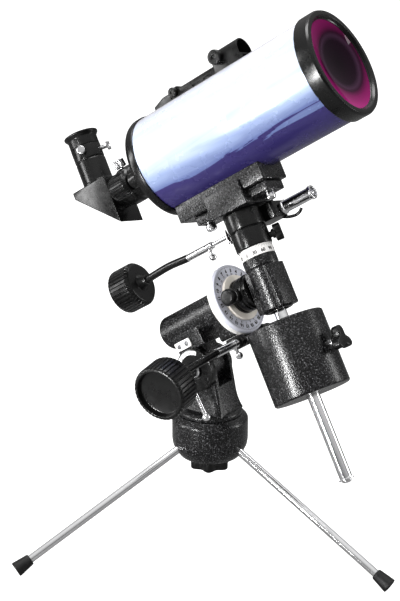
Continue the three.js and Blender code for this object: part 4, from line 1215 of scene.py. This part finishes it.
def thumbscrew(base, reach, radius, stem):
    profile = [
        (0, base), (radius * 0.7, base, 0), (radius, base + 0.5, 0.45), (radius, base + reach - 0.6, 0.45),
        (radius * 0.8, base + reach, 0), (0, base + reach),
    ]
    return together(lathe(softened(profile, 0.4), 28 * 4, wave=knurl(28)), rod(2.2, base - stem, base + 1))


finish_node("visual_back_screw", thumbscrew(20.2, 9, 6.1, 6), along(optics, (0, 0, -107), (-0.954, -0.3, 0)))

# Star diagonal and eyepiece

PRISM_HALF = 19.0
PRISM_DEPTH = 22.0
PRISM_TOP = 18.0
HOLDER_RADIUS = 15.5
HOLDER_TOP = 59.0
up_line = along(optics, (0, 0, DIAGONAL_AT), (-1, 0, 0), (0, 0, 1))


def diagonal_body():
    front, rear = DIAGONAL_AT + PRISM_DEPTH, DIAGONAL_AT - PRISM_DEPTH
    outline = [(-PRISM_TOP, front), (2 * PRISM_DEPTH - 11, front), (-11, rear), (-PRISM_TOP, rear)]
    prism = slab(outline, -PRISM_HALF, PRISM_HALF, 1.0, 3)
    moved(prism, Matrix(((1, 0, 0, 0), (0, 0, -1, 0), (0, 1, 0, 0), (0, 0, 0, 1))))
    nose = rod(12.4, front - 1, -84, 0.5, FINE)
    collar = rod(17.6, front - 1, -112.3, 0.9, FINE)
    to_up = optics.inverted() @ up_line
    holder = moved(turned([
        (0, 14), (16.6, 14), (16.6, 19.6), (HOLDER_RADIUS, 20.6), (HOLDER_RADIUS, 43), (14.9, 43.6),
        (14.9, 44.6), (HOLDER_RADIUS, 45.2), (HOLDER_RADIUS, HOLDER_TOP), (0, HOLDER_TOP),
    ], 0.5), to_up)
    light = moved(rod(12.6, 6, 70, 0, MEDIUM), to_up)
    return cut(join(prism, nose, collar, holder), light)


finish_node("diagonal_body", diagonal_body(), optics)
finish_node("eyepiece", turned([
    (9.6, 26), (12.2, 26), (12.2, 59.3), (15.3, 59.3), (15.3, 68.3), (17.9, 71.8), (17.9, 73.3), (16.4, 73.3),
    (13, 67.3), (9.6, 66.4),
], 0.4, closed=True), up_line)
trim("eye_lens", lathe([(0, 61.2), (4, 61), (9.6, 60), (9.6, 57), (0, 57)], MEDIUM), up_line,
     "print_black", "eyepiece")
screw_turn = math.radians(68)
screw_side = (0, -math.sin(screw_turn), math.cos(screw_turn))
finish_node("eyepiece_screw", thumbscrew(17.5, 5, 4.7, 4.6), along(optics, (-53, 0, DIAGONAL_AT), screw_side))
second_screw_line = along(optics, (-53, 0, DIAGONAL_AT), (0, 0.55, 0.83))
trim("eyepiece_second_screw", thumbscrew(21, 4, 4.7, 5.8), second_screw_line, "chrome", "diagonal")

# Finder

FINDER_BASE = TUBE_RADIUS + 0.3
HOOD_RADIUS = 12.5
HOOD_AXIS = FINDER_BASE + 8
HOOD_REAR = 38.0
HOOD_FRONT = 70.0
# in this frame x is along the tube, y is away from its axis, and z is towards the near side
side_view = optics @ Matrix(((0, -1, 0, 0), (0, 0, -1, 0), (1, 0, 0, 0), (0, 0, 0, 1)))


def finder_rail():
    low, top, tongue = FINDER_BASE - 4, FINDER_BASE + 7.5, FINDER_BASE + 3
    bar = slab([
        (-44, low), (HOOD_FRONT - 4, low), (HOOD_FRONT - 4, tongue), (HOOD_REAR - 0.3, tongue),
        (HOOD_REAR - 0.3, top), (-31, top), (-44, FINDER_BASE + 3),
    ], -7, 7, 0.6)
    slot = block(-14, 18, FINDER_BASE - 20, FINDER_BASE + 20, -2, 2, 1, 0)
    edge_slots = []
    for at in (-22, -8, 6, 20):
        edge_slots.append(block(at, at + 9, FINDER_BASE + 1, FINDER_BASE + 3, 6, 9, 0.5, 0))
    bed = directed(rod(FINDER_BASE, -100, 100, 0, 192), (0, 0, 0), (1, 0, 0))
    return cut(bar, slot, bed, *edge_slots)


def arch(half, floor):
    return [(-half, floor), (half, floor)] + arc(0, HOOD_AXIS, half, 0, 180, 32)


def finder_hood():
    floor = FINDER_BASE + 3.3
    outside = slab(arch(HOOD_RADIUS, FINDER_BASE - 6), HOOD_REAR, HOOD_FRONT, 0.6)
    hollow = slab(arch(HOOD_RADIUS - 1.5, floor + 1.5), HOOD_REAR + 4, HOOD_FRONT + 1, 0)
    channel = slab([(-7.3, 40), (7.3, 40), (7.3, floor), (-7.3, floor)], HOOD_REAR - 1, HOOD_FRONT + 1, 0)
    whole = cut(outside, hollow, channel)
    moved(whole, turn_about("Z", 90))
    return cut(whole, rod(FINDER_BASE, -100, 100, 0, 192))


finish_node("finder_rail", finder_rail(), side_view)
finish_node("finder_hood", finder_hood(), optics)
finder_knob_line = along(optics, (-63, 0, 46), (0, -1, 0))
finish_node("finder_knob", turned([
    (0, 13), (6.4, 13), (7.2, 13.8), (7.2, 18), (6, 19), (2.4, 19), (2, 17.8), (0, 17.8),
], 0.5, MEDIUM), finder_knob_line)
rear_disc = turned([
    (0, 7.2), (4, 7.2), (4.6, 8), (4.6, 11), (3.8, 11.8), (1.6, 11.8), (1.3, 11), (0, 11),
], 0.4, MEDIUM)
trim("finder_rear_screw", rear_disc, along(optics, (-FINDER_BASE - 6, 0, -16), (0, -1, 0)),
     "black_plastic", "dec_axis")
trim("finder_rear_post", block(-FINDER_BASE - 11, -FINDER_BASE - 7, -6, 6, -21, -12, 1, 0.5), optics,
     "black_plastic", "dec_axis")

# Nodes of the frame that show only through gaps keep their shape.

for name in ("polar_bush", "polar_shaft", "dec_shaft", "primary_mirror", "diagonal_mirror"):
    piece = frame["nodes"][name]
    piece.data.materials.clear()
    piece.data.materials.append(MATERIALS[SLOT_OF[name]])

# Floor

floor_mesh = bmesh.new()
bmesh.ops.create_grid(floor_mesh, x_segments=2, y_segments=2, size=6.0)
floor_data = bpy.data.meshes.new("floor")
floor_mesh.to_mesh(floor_data)
floor_mesh.free()
floor = bpy.data.objects.new("floor", floor_data)
bpy.context.scene.collection.objects.link(floor)
floor.location = (0, 0, -0.0002)
floor_paint = bpy.data.materials.new("floor_paint")
floor_paint.use_nodes = True


def floor_finish():
    """Near white to the camera, with soft shadows, and a dimmer plain floor to everything else"""
    nodes = floor_paint.node_tree.nodes
    nodes.remove(nodes["Principled BSDF"])
    dim = node(floor_paint, "ShaderNodeBsdfDiffuse", Color=(0.25, 0.25, 0.25, 1))
    lit = node(floor_paint, "ShaderNodeBsdfDiffuse", Color=(0.3, 0.3, 0.3, 1))
    glow = node(floor_paint, "ShaderNodeEmission", Color=(1, 1, 1, 1), Strength=0.9)
    both = node(floor_paint, "ShaderNodeAddShader")
    choice = node(floor_paint, "ShaderNodeMixShader")
    ray = node(floor_paint, "ShaderNodeLightPath")
    wire(floor_paint, lit, "BSDF", both, 0)
    wire(floor_paint, glow, "Emission", both, 1)
    wire(floor_paint, ray, "Is Camera Ray", choice, "Fac")
    wire(floor_paint, dim, "BSDF", choice, 1)
    wire(floor_paint, both, "Shader", choice, 2)
    wire(floor_paint, choice, "Shader", nodes["Material Output"], "Surface")


floor_finish()
floor_data.materials.append(floor_paint)
